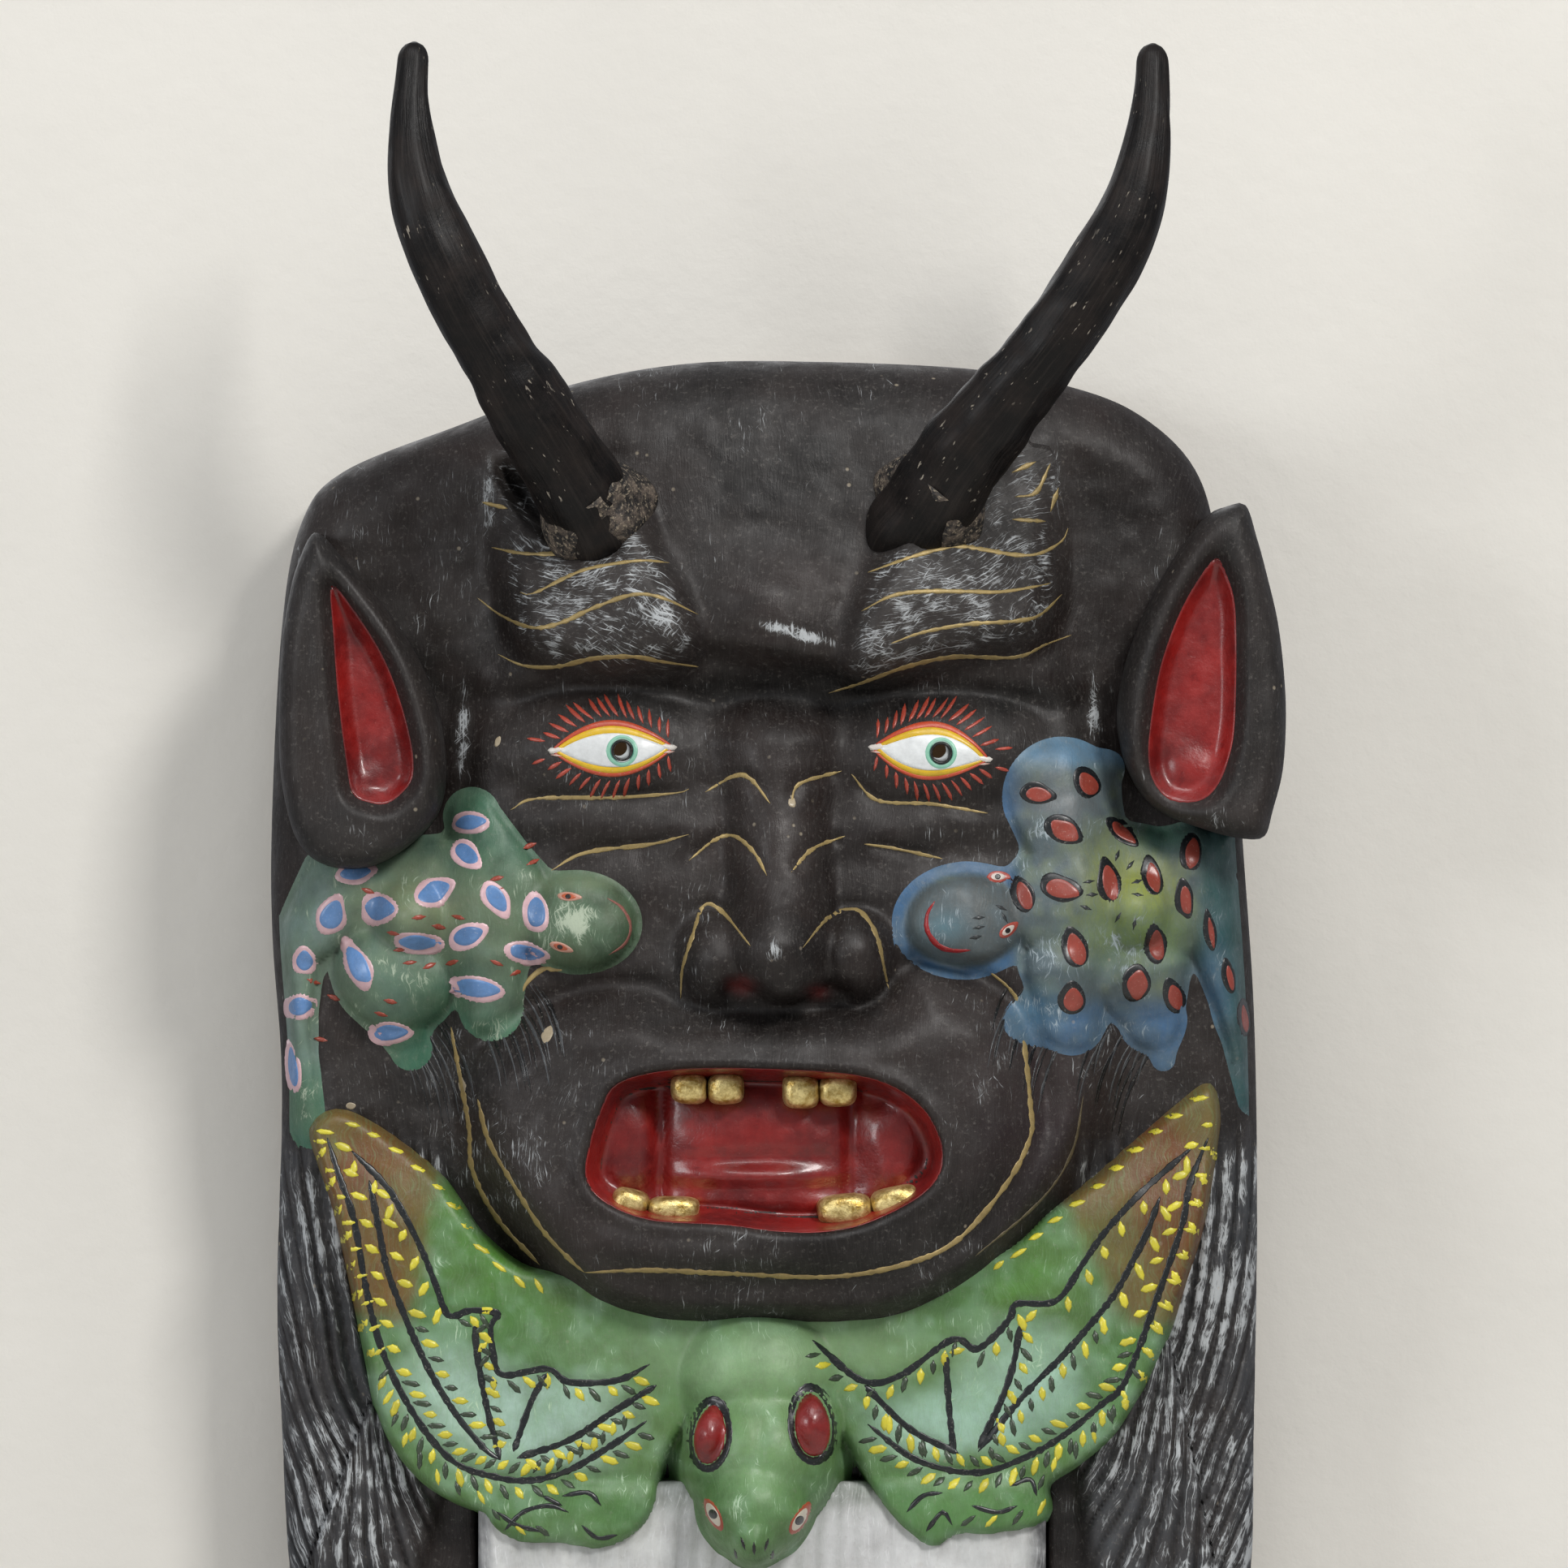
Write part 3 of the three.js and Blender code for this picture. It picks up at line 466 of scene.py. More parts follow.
def brushed_paint(name, drybrush_and_highlight_colour="b9bdbf", rough=(0.4, 0.66), haze="332a27", haze_mix=0.6, veil="423f3d",
                  specks=0.5, dry_width=0.5, bump_mm=0.2, **constants):
    """Old hand-brushed paint over carved wood. The tint attribute is its colour, with painted shade on the
    block; a second attribute marks where a nearly spent pale brush caught the surface or where a highlight is
    painted, and flow runs across and along the brush marks."""
    material, tree, shader, here = start(name, **constants)
    tint = attribute(tree, "tint", "Color")
    drybrush_and_highlight = attribute(tree, "drybrush_and_highlight")
    bend = node(tree, "ShaderNodeTexNoise", {"Vector": here, "Scale": 1000 / 11, "Detail": 2.0})
    bend = node(tree, "ShaderNodeVectorMath", {0: bend.outputs["Color"], 1: (0.004, 0.004, 0)},
                operation="MULTIPLY")
    flow = node(tree, "ShaderNodeVectorMath",
                {0: attribute(tree, "flow", "Vector"), 1: bend.outputs[0]}).outputs[0]
    broad = noise(tree, here, 38, 3)
    cloud = noise(tree, here, 9, 4, 0.65)
    fine = noise(tree, here, 1.4, 4, 0.7)
    hairs = streaks(tree, flow, dry_width, 9, 2.5)
    crossed = streaks(tree, flow, dry_width, 6, 2.5, turn=0.8)
    third = streaks(tree, flow, dry_width, 6, 2.5, turn=-0.6)
    colour = mix(tree, remap(tree, broad, 0.4, 0.7, 0, haze_mix), tint, rgba(haze))
    colour = mix(tree, remap(tree, cloud, 0.35, 0.75, 0.0, 0.6), colour,
                 mix(tree, 1.0, colour, (0.45, 0.43, 0.42, 1), "MULTIPLY"))
    patch = calc(tree, "MULTIPLY", drybrush_and_highlight, remap(tree, noise(tree, here, 6, 4), 0.32, 0.62, 0.55, 1.2))
    colour = mix(tree, remap(tree, patch, 0.3, 1.5, 0, 0.6), colour, rgba(veil))
    colour = mix(tree, remap(tree, fine, 0.56, 0.78, 0, 0.3), colour, rgba("8b8680"))
    colour = mix(tree, remap(tree, hairs, 0.48, 0.8, 0, 0.4), colour, rgba(veil))
    # drybrushing, which also lays on the painted highlights: hairs show where the noise is above a limit that
    # falls as that attribute grows
    both = calc(tree, "MAXIMUM", hairs, calc(tree, "SUBTRACT", calc(tree, "MAXIMUM", crossed, third), 0.05))
    limit = calc(tree, "SUBTRACT", 0.82, calc(tree, "MULTIPLY", patch, 0.25))
    brushed_and_highlit = remap(tree, calc(tree, "SUBTRACT", both, limit), 0.0, 0.14, 0.0, 0.85)
    colour = mix(tree, brushed_and_highlit, colour, rgba(drybrush_and_highlight_colour))
    # knocks through to the pale ground
    pits = node(tree, "ShaderNodeTexVoronoi", {"Vector": here, "Scale": 1000 / 7.0, "Randomness": 1.0})
    speck = calc(tree, "MULTIPLY", remap(tree, pits.outputs["Distance"], 0.11, 0.06, 0, 1),
                 remap(tree, noise(tree, here, 24, 2), 0.54, 0.64, 0, specks))
    colour = mix(tree, speck, colour, rgba("a89c88"))
    roughness = calc(tree, "ADD", remap(tree, cloud, 0.3, 0.7, *rough), calc(tree, "MULTIPLY", brushed_and_highlit, 0.2))
    height = calc(tree, "ADD", calc(tree, "MULTIPLY", hairs, 0.5), calc(tree, "MULTIPLY", fine, 0.5))
    height = calc(tree, "ADD", height, calc(tree, "MULTIPLY", cloud, 1.2))
    height = calc(tree, "SUBTRACT", height, calc(tree, "MULTIPLY", speck, 0.8))
    connect(tree, shader, colour, roughness, height, bump_mm)
    return material


def thick_paint(name, rough=(0.3, 0.5), coat=0.15, vary=0.35, metal=0.0, bump_mm=0.06):
    """Opaque paint laid on in strokes and daubs, coloured by the tint attribute."""
    material, tree, shader, here = start(name, coat_weight=coat, coat_roughness=0.2, metallic=metal)
    tint = attribute(tree, "tint", "Color")
    cloud = noise(tree, here, 3.2, 4, 0.7)
    fine = noise(tree, here, 0.7, 3)
    darker = mix(tree, 1.0, tint, (0.42, 0.42, 0.42, 1), "MULTIPLY")
    colour = mix(tree, remap(tree, cloud, 0.35, 0.7, 0, vary), tint, darker)
    colour = mix(tree, remap(tree, fine, 0.6, 0.8, 0, 0.3), colour, rgba("d8d2c4"))
    roughness = remap(tree, cloud, 0.3, 0.7, *rough)
    height = calc(tree, "ADD", cloud, calc(tree, "MULTIPLY", fine, 0.5))
    connect(tree, shader, colour, roughness, height, bump_mm)
    return material


def gloss_red(name):
    """Red enamel in the mouth and the ears: glossy, with darker pools and rubbed pale spots."""
    material, tree, shader, here = start(name, coat_weight=0.35, coat_roughness=0.16)
    pool = noise(tree, here, 17, 3)
    cloud = noise(tree, here, 4.5, 4, 0.65)
    fine = noise(tree, here, 0.9, 3)
    colour = mix(tree, remap(tree, pool, 0.36, 0.66), rgba("5c0a0a"), rgba("84130f"))
    colour = mix(tree, remap(tree, cloud, 0.5, 0.78, 0, 0.4), colour, rgba("9a1b15"))
    colour = mix(tree, remap(tree, cloud, 0.42, 0.28, 0, 0.5), colour, rgba("530b0e"))
    colour = mix(tree, remap(tree, fine, 0.68, 0.78, 0, 0.25), colour, rgba("cf8a80"))
    roughness = remap(tree, cloud, 0.3, 0.7, 0.3, 0.56)
    height = calc(tree, "ADD", calc(tree, "MULTIPLY", cloud, 2.2), calc(tree, "MULTIPLY", fine, 0.35))
    connect(tree, shader, colour, roughness, height, 0.16)
    return material


def horn_skin(name):
    """Horn, painted black and worn: growth rings, long fibres, rubbed brown patches and pale nicks."""
    material, tree, shader, here = start(name, coat_weight=0.05, coat_roughness=0.3, specular_ior_level=0.2)
    along = attribute(tree, "flow", "Vector")
    fibre = streaks(tree, along, 1.0, 26)
    patches = noise(tree, here, 13, 5, 0.7)
    fine = noise(tree, here, 1.3, 4, 0.7)
    colour = mix(tree, remap(tree, patches, 0.42, 0.68, 0, 0.75), rgba("0b0909"), rgba("241d1a"))
    colour = mix(tree, remap(tree, fibre, 0.5, 0.8, 0, 0.4), colour, rgba("3d3733"))
    nick_at = streaks(tree, along, 1.9, 5, 2)
    nick = calc(tree, "MULTIPLY", remap(tree, nick_at, 0.65, 0.69),
                remap(tree, noise(tree, here, 19, 2), 0.47, 0.6))
    colour = mix(tree, calc(tree, "MULTIPLY", nick, 0.8), colour, rgba("a39a8c"))
    roughness = remap(tree, patches, 0.3, 0.7, 0.34, 0.62)
    height = calc(tree, "ADD", calc(tree, "MULTIPLY", fibre, 1.1), calc(tree, "MULTIPLY", fine, 0.5))
    height = calc(tree, "SUBTRACT", calc(tree, "ADD", height, patches), nick)
    connect(tree, shader, colour, roughness, height, 0.22)
    return material


def gold_leaf(name, metal=0.75):
    material, tree, shader, here = start(name, metallic=metal, coat_weight=0.1)
    cloud = noise(tree, here, 3.4, 4, 0.7)
    fine = noise(tree, here, 0.8, 4)
    colour = mix(tree, remap(tree, cloud, 0.36, 0.64), rgba("a5853c"), rgba("efdc9a"))
    colour = mix(tree, remap(tree, fine, 0.62, 0.74, 0, 0.7), colour, rgba("4a2a18"))
    roughness = remap(tree, cloud, 0.3, 0.7, 0.28, 0.5)
    height = calc(tree, "ADD", calc(tree, "MULTIPLY", cloud, 2.0), fine)
    connect(tree, shader, colour, roughness, height, 0.16)
    return material


def bare_wood(name, light="8f6e48", dark="46301d"):
    material, tree, shader, here = start(name)
    turned = node(tree, "ShaderNodeMapping", {"Vector": here, "Rotation": (0, math.pi / 2, 0)}).outputs[0]
    grain = streaks(tree, turned, 60, 1.6, 5)
    cloud = noise(tree, here, 30, 3)
    colour = mix(tree, remap(tree, grain, 0.35, 0.68), rgba(dark), rgba(light))
    colour = mix(tree, remap(tree, cloud, 0.4, 0.7, 0, 0.5), colour, rgba("6e5236"))
    roughness = remap(tree, grain, 0.3, 0.7, 0.62, 0.85)
    height = calc(tree, "ADD", grain, calc(tree, "MULTIPLY", noise(tree, here, 6, 3), 1.5))
    connect(tree, shader, colour, roughness, height, 0.25)
    return material


def old_putty(name):
    material, tree, shader, here = start(name)
    cloud = noise(tree, here, 5, 5, 0.7)
    fine = noise(tree, here, 1.1, 3)
    colour = mix(tree, remap(tree, cloud, 0.46, 0.62, 0, 0.8), rgba("1a1716"), rgba("665a4f"))
    colour = mix(tree, remap(tree, fine, 0.54, 0.68, 0, 0.75), colour, rgba("a39580"))
    roughness = remap(tree, cloud, 0.3, 0.7, 0.55, 0.85)
    height = calc(tree, "ADD", calc(tree, "MULTIPLY", cloud, 2.0), fine)
    connect(tree, shader, colour, roughness, height, 0.4)
    return material


def steel(name):
    material, tree, shader, here = start(name, metallic=0.9)
    cloud = noise(tree, here, 4, 4, 0.7)
    fine = noise(tree, here, 0.6, 3)
    colour = mix(tree, remap(tree, cloud, 0.5, 0.72), rgba("8f8f8c"), rgba("5a4233"))
    roughness = calc(tree, "ADD", remap(tree, cloud, 0.3, 0.7, 0.28, 0.6), calc(tree, "MULTIPLY", fine, 0.1))
    connect(tree, shader, colour, roughness, fine, 0.05)
    return material


BLACK = brushed_paint("black_paint", specular_ior_level=0.34)
GREEN_TOAD = brushed_paint("toad_green_paint", drybrush_and_highlight_colour="aeb9a4", haze="5f6a4a", haze_mix=0.5,
                           veil="5f7a62",
                           specks=0.3, dry_width=0.6, rough=(0.4, 0.66))
BLUE_TOAD = brushed_paint("toad_blue_paint", drybrush_and_highlight_colour="a9b5bb", haze="4a5450", haze_mix=0.45, veil="5b6c74",
                          specks=0.3, dry_width=0.6, rough=(0.4, 0.66))
BAT_PAINT = brushed_paint("bat_paint", drybrush_and_highlight_colour="b9d0b4", haze="66763f", haze_mix=0.3, veil="6d9464",
                          specks=0.2, dry_width=0.6, coat_weight=0.05, coat_roughness=0.3, rough=(0.38, 0.62))
BEARD_PAINT = brushed_paint("beard_paint", drybrush_and_highlight_colour="dcddde", haze="b2b3b4", haze_mix=0.5, veil="d0d1d2",
                            specks=0.3, rough=(0.45, 0.7), dry_width=0.8)
RED = gloss_red("red_enamel")
HORN = horn_skin("horn")
GOLD_LEAF = gold_leaf("gilding")
GOLD_LINE = thick_paint("gold_line", rough=(0.4, 0.6), coat=0.0, vary=0.6, metal=0.25)
ARTIST = thick_paint("artist_paint", rough=(0.32, 0.5), coat=0.2)
BLACK_LINE = thick_paint("black_line", rough=(0.28, 0.45), coat=0.2, vary=0.2)
WOOD = bare_wood("bare_wood")
PUTTY = old_putty("old_putty")
STEEL = steel("worn_steel")


# ---------------------------------------------------------------- pieces laid on a surface
def finish_piece(obj, slot, *nodes, body=BODY):
    """Every piece rides on its body and stands for its CAD nodes. slot, the name of its finish, is not used.
    """
    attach(obj, body)
    if nodes:
        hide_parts(*nodes)
    return obj


class Relief:
    """A surface sampled once on a 1 mm grid, so that many pieces can be laid on it quickly."""

    X, Z = np.arange(-172.0, 173.0), np.arange(-440.0, 31.0)

    def __init__(self, depth_at):
        self.depth = depth_at(*np.meshgrid(self.X, self.Z))

    def __call__(self, x, z):
        u = np.clip(x - self.X[0], 0, len(self.X) - 1.01)
        v = np.clip(z - self.Z[0], 0, len(self.Z) - 1.01)
        i, j = u.astype(int), v.astype(int)
        u, v = u - i, v - j
        d = self.depth
        low = d[j, i] * (1 - u) + d[j, i + 1] * u
        return low * (1 - v) + (d[j + 1, i] * (1 - u) + d[j + 1, i + 1] * u) * v


class Paintwork:
    """Raised paint on a surface: strokes, daubs and bands gathered into one mesh."""

    def __init__(self, surface, seed):
        self.surface, self.random = surface, np.random.default_rng(seed)
        self.points, self.faces, self.tints = [], [], []

    def add(self, x, z, height, faces, colour):
        base = sum(len(p) for p in self.points)
        self.points.append(np.stack([x, self.surface(x, z) + height, z], -1).reshape(-1, 3))
        self.faces += [[int(i) + base for i in f] for f in faces]
        shade = srgb(colour) * self.random.uniform(0.85, 1.12)
        self.tints.append(np.tile(shade, (x.size, 1)))

    def stroke(self, points, width, colour, lift=0.3, taper=0.2, ragged=0.16, step=1.3):
        """A closed ribbon along a smooth line, pointed at both ends and a little ragged."""
        line = curve(points, step=step)
        n = len(line)
        t = np.linspace(0, 1, n)
        side = np.gradient(line, axis=0)
        side /= np.linalg.norm(side, axis=1)[:, None] + 1e-9
        side = np.stack([-side[:, 1], side[:, 0]], 1)
        ends = np.minimum(1, np.minimum(t, 1 - t) / taper) ** 0.6
        half = width / 2 * (0.12 + 0.88 * ends) * (1 + ragged * self.random.uniform(-1, 1, n))
        across = np.array([-1, -0.55, 0, 0.55, 1, 0])
        up = np.array([-0.4, 0.75, 1, 0.75, -0.4, -0.9]) * lift
        x = line[:, :1] + side[:, :1] * half[:, None] * across
        z = line[:, 1:] + side[:, 1:] * half[:, None] * across
        height = np.broadcast_to(up, x.shape) * (0.4 + 0.6 * ends[:, None])
        faces = loft(n, 6) + [list(range(6))[::-1], [(n - 1) * 6 + k for k in range(6)]]
        self.add(x.ravel(), z.ravel(), height.ravel(), faces, colour)

    def band(self, outer, inner, colour, lift=0.25, loops=4, closed_centre=False):
        """Paint between two outlines with matching points, or filled to its centre."""
        shares = np.linspace(0, 1, loops)[:, None, None]
        ring = np.asarray(outer)[None] * (1 - shares) + np.asarray(inner)[None] * shares
        count = ring.shape[1]
        up = np.full(loops, 1.0)
        up[0] = -0.5
        if not closed_centre:
            up[-1] = -0.5
        height = np.concatenate([np.repeat(up, count), np.full(loops * count, -2.0)]) * lift
        each, low = np.arange(count), loops * count
        faces = (loft(loops, count) + loft(loops, count, low, flip=True)
                 + ring_faces(each, low + each, flip=True).tolist())
        top_last, low_last = low - count + each, 2 * low - count + each
        if closed_centre:
            faces += [top_last.tolist(), low_last[::-1].tolist()]
        else:
            faces += ring_faces(top_last, low_last).tolist()
        x, z = np.tile(ring[..., 0].ravel(), 2), np.tile(ring[..., 1].ravel(), 2)
        self.add(x, z, height, faces, colour)

    def daub(self, outline, colour, lift=0.25):
        outline = np.asarray(outline)
        centre = outline.mean(0)
        self.band(outline, centre + (outline - centre) * 0.12, colour, lift, loops=5, closed_centre=True)

    def finish(self, name, material, slot):
        painted = make_mesh(name, np.vstack(self.points), self.faces, material, tint=np.vstack(self.tints))
        return finish_piece(face_outwards(painted), slot)


def leaf(cx, cz, rx, rz, tilt=0.0, point=0.35, count=26, grow=0.0, random=None):
    """A hand-painted spot: an oval drawn out to a point at one end, a little irregular."""
    a = around(count)
    long_x = rx >= rz
    u = (rx + grow) * np.cos(a)
    v = (rz + grow) * np.sin(a)
    if long_x:
        u = u * (1 + point * 0.35 * np.maximum(0, np.cos(a)) ** 4)
    else:
        v = v * (1 + point * 0.35 * np.maximum(0, np.sin(a)) ** 4)
    if random is not None:
        wave = sum(random.uniform(-0.05, 0.05) * np.cos(k * a + random.uniform(0, 6)) for k in (2, 3, 4))
        u, v = u * (1 + wave), v * (1 + wave)
    c, s = math.cos(math.radians(tilt)), math.sin(math.radians(tilt))
    return np.stack([cx + u * c - v * s, cz + u * s + v * c], 1)


def shell(name, rings, thickness, material, **looks):
    """A closed skin from rings of points (x, depth, z), outermost first, and the same rings further back."""
    rings = np.asarray(rings)
    loops, count = rings.shape[:2]
    back = rings.copy()
    back[..., 1] -= np.broadcast_to(thickness, back[..., 1].shape)
    front_mid, back_mid = rings[-1].mean(0), back[-1].mean(0)
    points = np.vstack([rings.reshape(-1, 3), back.reshape(-1, 3), front_mid[None], back_mid[None]])
    each, low = np.arange(count), loops * count
    inner = low - count + each
    faces = (loft(loops, count) + loft(loops, count, low, flip=True)
             + ring_faces(each, low + each, flip=True).tolist()
             + fan(inner, 2 * low) + fan((low + inner)[::-1], 2 * low + 1))
    return make_mesh(name, points, faces, material, **looks)


def face_outwards(obj):
    """Turns every face of a closed mesh outwards."""
    work = bmesh.new()
    work.from_mesh(obj.data)
    bmesh.ops.recalc_face_normals(work, faces=work.faces)
    work.to_mesh(obj.data)
    work.free()
    return obj


# ---------------------------------------------------------------- the block
EDGE_INSET, EDGE_DROP = 20, 26
BEARD_TOP, BEARD_LEFT, BEARD_RIGHT, BEARD_FRONT, BEARD_BACK = -334, -92, 83, 76, 46.3
CAVITY_X, CAVITY_Z, CAVITY_DEPTH, CAVITY_POWER = -4, -198, 50, 3.2
CAVITY_HALF = (122, 131)
HOLLOW_WALL, HOLLOW_ROUNDING, BACK_POINTS = 22, 24, 300
WALL_SHARES = (0.93, 0.85, 0.77, 0.69, 0.61, 0.53, 0.45, 0.37, 0.29, 0.21, 0.13, 0.06)


def front_depth(x, z):
    """The finished front of the block, with its rounded edge, its hair and the seat for the beard."""
    t = 1 - np.clip(inside(x, z, OUTLINE) / EDGE_INSET, 0, 1)
    depth = block_depth(x, z) + hair(x, z)[0] - EDGE_DROP * (1 - np.sqrt(1 - t * t))
    seat = (ramp(BEARD_TOP + 1, BEARD_TOP - 1, z) * ramp(BEARD_LEFT - 1, BEARD_LEFT + 1, x)
            * ramp(BEARD_RIGHT + 1, BEARD_RIGHT - 1, x))
    return depth + (np.minimum(depth, BEARD_BACK - 0.3) - depth) * seat


FRONT = Relief(front_depth)


def slice_of(line, start, end, shares):
    """Points at the given shares of the way along a closed line from near start to near end."""
    a = int(np.argmin(np.hypot(*(line - start).T)))
    b = int(np.argmin(np.hypot(*(line - end).T)))
    part = line[a:b + 1] if b > a else np.vstack([line[a:], line[:b + 1]])
    run = np.concatenate([[0], np.cumsum(np.hypot(*np.diff(part, axis=0).T))])
    run /= run[-1]
    return np.stack([np.interp(shares, run, part[:, k]) for k in (0, 1)], 1)


def spread(length, step, side=0, side_step=1.3):
    """Shares from 0 to 1 along a length: close together near both ends, side_step apart over each side."""
    at = [0, 0.25, 0.7, 1.4, 2.3]
    while at[-1] < length / 2 - step:
        at.append(at[-1] + (side_step if at[-1] < side else step))
    half = np.array(at) * (length - step) / 2 / at[-1]
    return np.concatenate([half, length - half[::-1]]) / length


def coons(top, bottom, left, right):
    """A grid of points between four edges that meet at their ends."""
    u, v = COLUMN_SHARES[None, :, None], ROW_SHARES[:, None, None]
    edges = (1 - v) * top[None] + v * bottom[None] + (1 - u) * left[:, None] + u * right[:, None]
    corners = ((1 - u) * (1 - v) * top[0] + u * (1 - v) * top[-1]
               + (1 - u) * v * bottom[0] + u * v * bottom[-1])
    return edges - corners


COLUMN_SHARES, ROW_SHARES = spread(280, 1.3, side=56, side_step=0.8), spread(400, 1.3)


def rim_of(rows, cols):
    """Indices round the edge of a grid, in one direction."""
    return np.concatenate([np.arange(cols), np.arange(1, rows) * cols + cols - 1,
                           (rows - 1) * cols + np.arange(cols - 2, -1, -1),
                           np.arange(rows - 2, 0, -1) * cols])


def stitch(fine, coarse):
    """Triangles between two closed loops with different numbers of points."""
    n, m = len(fine), len(coarse)
    at = np.arange(n + 1) * m // n
    faces = []
    for i in range(n):
        a, b = fine[i], fine[(i + 1) % n]
        c, d = coarse[at[i] % m], coarse[at[i + 1] % m]
        faces.append([a, b, d])
        if c != d:
            faces.append([a, d, c])
    return faces


def cavity_reach(angle):
    c, s = np.abs(np.cos(angle)) / CAVITY_HALF[0], np.abs(np.sin(angle)) / CAVITY_HALF[1]
    return (c ** CAVITY_POWER + s ** CAVITY_POWER) ** (-1 / CAVITY_POWER)


def block_paint(x, depth, z):
    """Colour with painted shade, drybrushing with a few painted highlights, and brush direction over the
    block.
    """
    _, amount, crest, across, along = hair(x, z)
    warm = (0.5 + 0.5 * lumps(x, z, 45, 21))[:, None]
    tint = srgb("110d0b") * (1 - warm) + srgb("1e1614") * warm
    strand = srgb("0c0c0d") * (1 - crest[:, None]) + srgb("3d4146") * crest[:, None]
    tint = tint * (1 - amount[:, None]) + strand * amount[:, None]
    cheek = swell(x, z, 80, -215, 22, 30)[:, None] * 0.6
    tint = tint * (1 - cheek) + srgb("33262a") * cheek
    # painted shade: darker under and between the brows, in the pit by the left horn's foot, under the nose,
    # and from the chin's lower edge down, except on the hair
    painted_shade = (swell(x, z, -52, -93, 42, 6.5, 0, 2) + swell(x, z, 52, -94, 42, 6.5, 0, 2)
              + swell(x, z, 2, -88, 26, 6, 0, 2)
              + swell(x, z, -76, -31, 16, 6, -50, 2) + swell(x, z, 3, -192, 34, 5)
              + ramp(-278, -288, z) * (1 - amount))
    tint = tint * (1 - 0.85 * np.clip(painted_shade, 0, 1)[:, None])
    # painted shade: the forehead is darkened to hold back the strong light it gets from above
    tint = tint * (1 - 0.6 * swell(x, z, 0, -25, 80, 36)[:, None])
    nostril = np.clip(1.3 * swell(x, z, -11, -181, 3.4, 2.4) + swell(x, z, 13, -183, 2.8, 1.8), 0, 1)[:, None]
    tint = tint * (1 - nostril) + srgb("7a2c2c") * nostril
    pads = np.maximum(ramp(0, 8, inside(x, z, BROW_LEFT)), ramp(0, 8, inside(x, z, BROW_RIGHT)))
    low = ramp(-28, -62, z)
    drybrush_and_highlight = pads * (0.95 + 0.15 * low)
    # painted highlights: the pale spots on the nose tip and along the bridge stand in for gloss
    drybrush_and_highlight = np.maximum(drybrush_and_highlight, 1.1 * swell(x, z, -1, -170, 4, 5) + 0.9 * swell(x, z, 0, -155, 2.5, 12))
    # the thin spot across the frown at (5, -72.5) is a painted highlight
    for strength, *spot in ((1.4, -38, -67, 14, 9), (1.1, 58, -64, 26, 12), (2.0, 5, -72.5, 14, 2.4, -14),
                             (1.7, -97, -103, 3.0, 20), (1.5, 98, -95, 3.0, 20), (1.5, -89, -30, 3, 18),
                             (1.1, 86, -28, 5, 16)):
        drybrush_and_highlight = np.maximum(drybrush_and_highlight, strength * swell(x, z, *spot))
    # the three spots on the nose tip and wings are painted highlights
    for cx, cz, rx, rz in ((-55, -100, 20, 4), (56, -100, 18, 4), (-100, -205, 14, 12), (95, -207, 16, 12),
                           (-62, -196, 18, 6), (60, -262, 20, 8), (-66, -160, 30, 12), (60, -152, 26, 8),
                           (-1, -165, 4, 8), (-18, -166, 6, 8), (22, -165, 6, 8), (0, -200, 30, 6)):
        drybrush_and_highlight = np.maximum(drybrush_and_highlight, 0.85 * swell(x, z, cx, cz, rx, rz))
    bright = np.where(x > 0, 1.65, 1.6)
    drybrush_and_highlight = np.maximum(drybrush_and_highlight, bright * crest * (0.8 + 0.35 * lumps(x, z, 22, 31)))
    drybrush_and_highlight = np.maximum(drybrush_and_highlight, 0.55 + 0.35 * lumps(x, z, 18, 33))
    drybrush_and_highlight = drybrush_and_highlight * ramp(12, 30, depth)
    swirl = 0.9 * lumps(x, z, 30, 8)
    flow_face = np.stack([z + x * 0.2 * np.sign(-x) + 7 * swirl, x, x * 0], 1)
    flow_hair = np.stack([across, along * 0.3, x * 0], 1)
    face = np.clip(pads + (np.abs(x) < 60) * 0.5, 0, 1)
    flow_skin = np.stack([x + 5 * swirl, z, x * 0], 1)
    flow = np.where(amount[:, None] > 0.5, flow_hair, np.where(face[:, None] > 0.6, flow_face, flow_skin))
    return tint, drybrush_and_highlight, flow * MM


def carve(obj, cutters):
    """Cuts closed shapes out of a closed mesh."""
    for cutter in cutters:
        cut = obj.modifiers.new("cut", "BOOLEAN")
        cut.operation, cut.object, cut.solver = "DIFFERENCE", cutter, "MANIFOLD"
    bpy.context.view_layer.update()
    done = bpy.data.meshes.new_from_object(obj.evaluated_get(bpy.context.evaluated_depsgraph_get()))
    obj.modifiers.clear()
    obj.data = done
    for cutter in cutters:
        bpy.data.objects.remove(cutter)


def block_cutter(points):
    """A closed prism between two outlines, each a list of (x, depth, z)."""
    count = len(points) // 2
    each = np.arange(count)
    faces = ring_faces(each, count + each).tolist() + [each[::-1].tolist(), (count + each).tolist()]
    return face_outwards(make_mesh("cutter", points, faces, WOOD))


def round_cutter(x, z, depths, radius, count=28):
    a = around(count)
    return block_cutter([(x + radius * math.cos(t), d, z + radius * math.sin(t)) for d in depths for t in a])


def box_cutter(xs, depths, zs):
    corners = [(xs[0], zs[0]), (xs[1], zs[0]), (xs[1], zs[1]), (xs[0], zs[1])]
    return block_cutter([(x, d, z) for d in depths for x, z in corners])


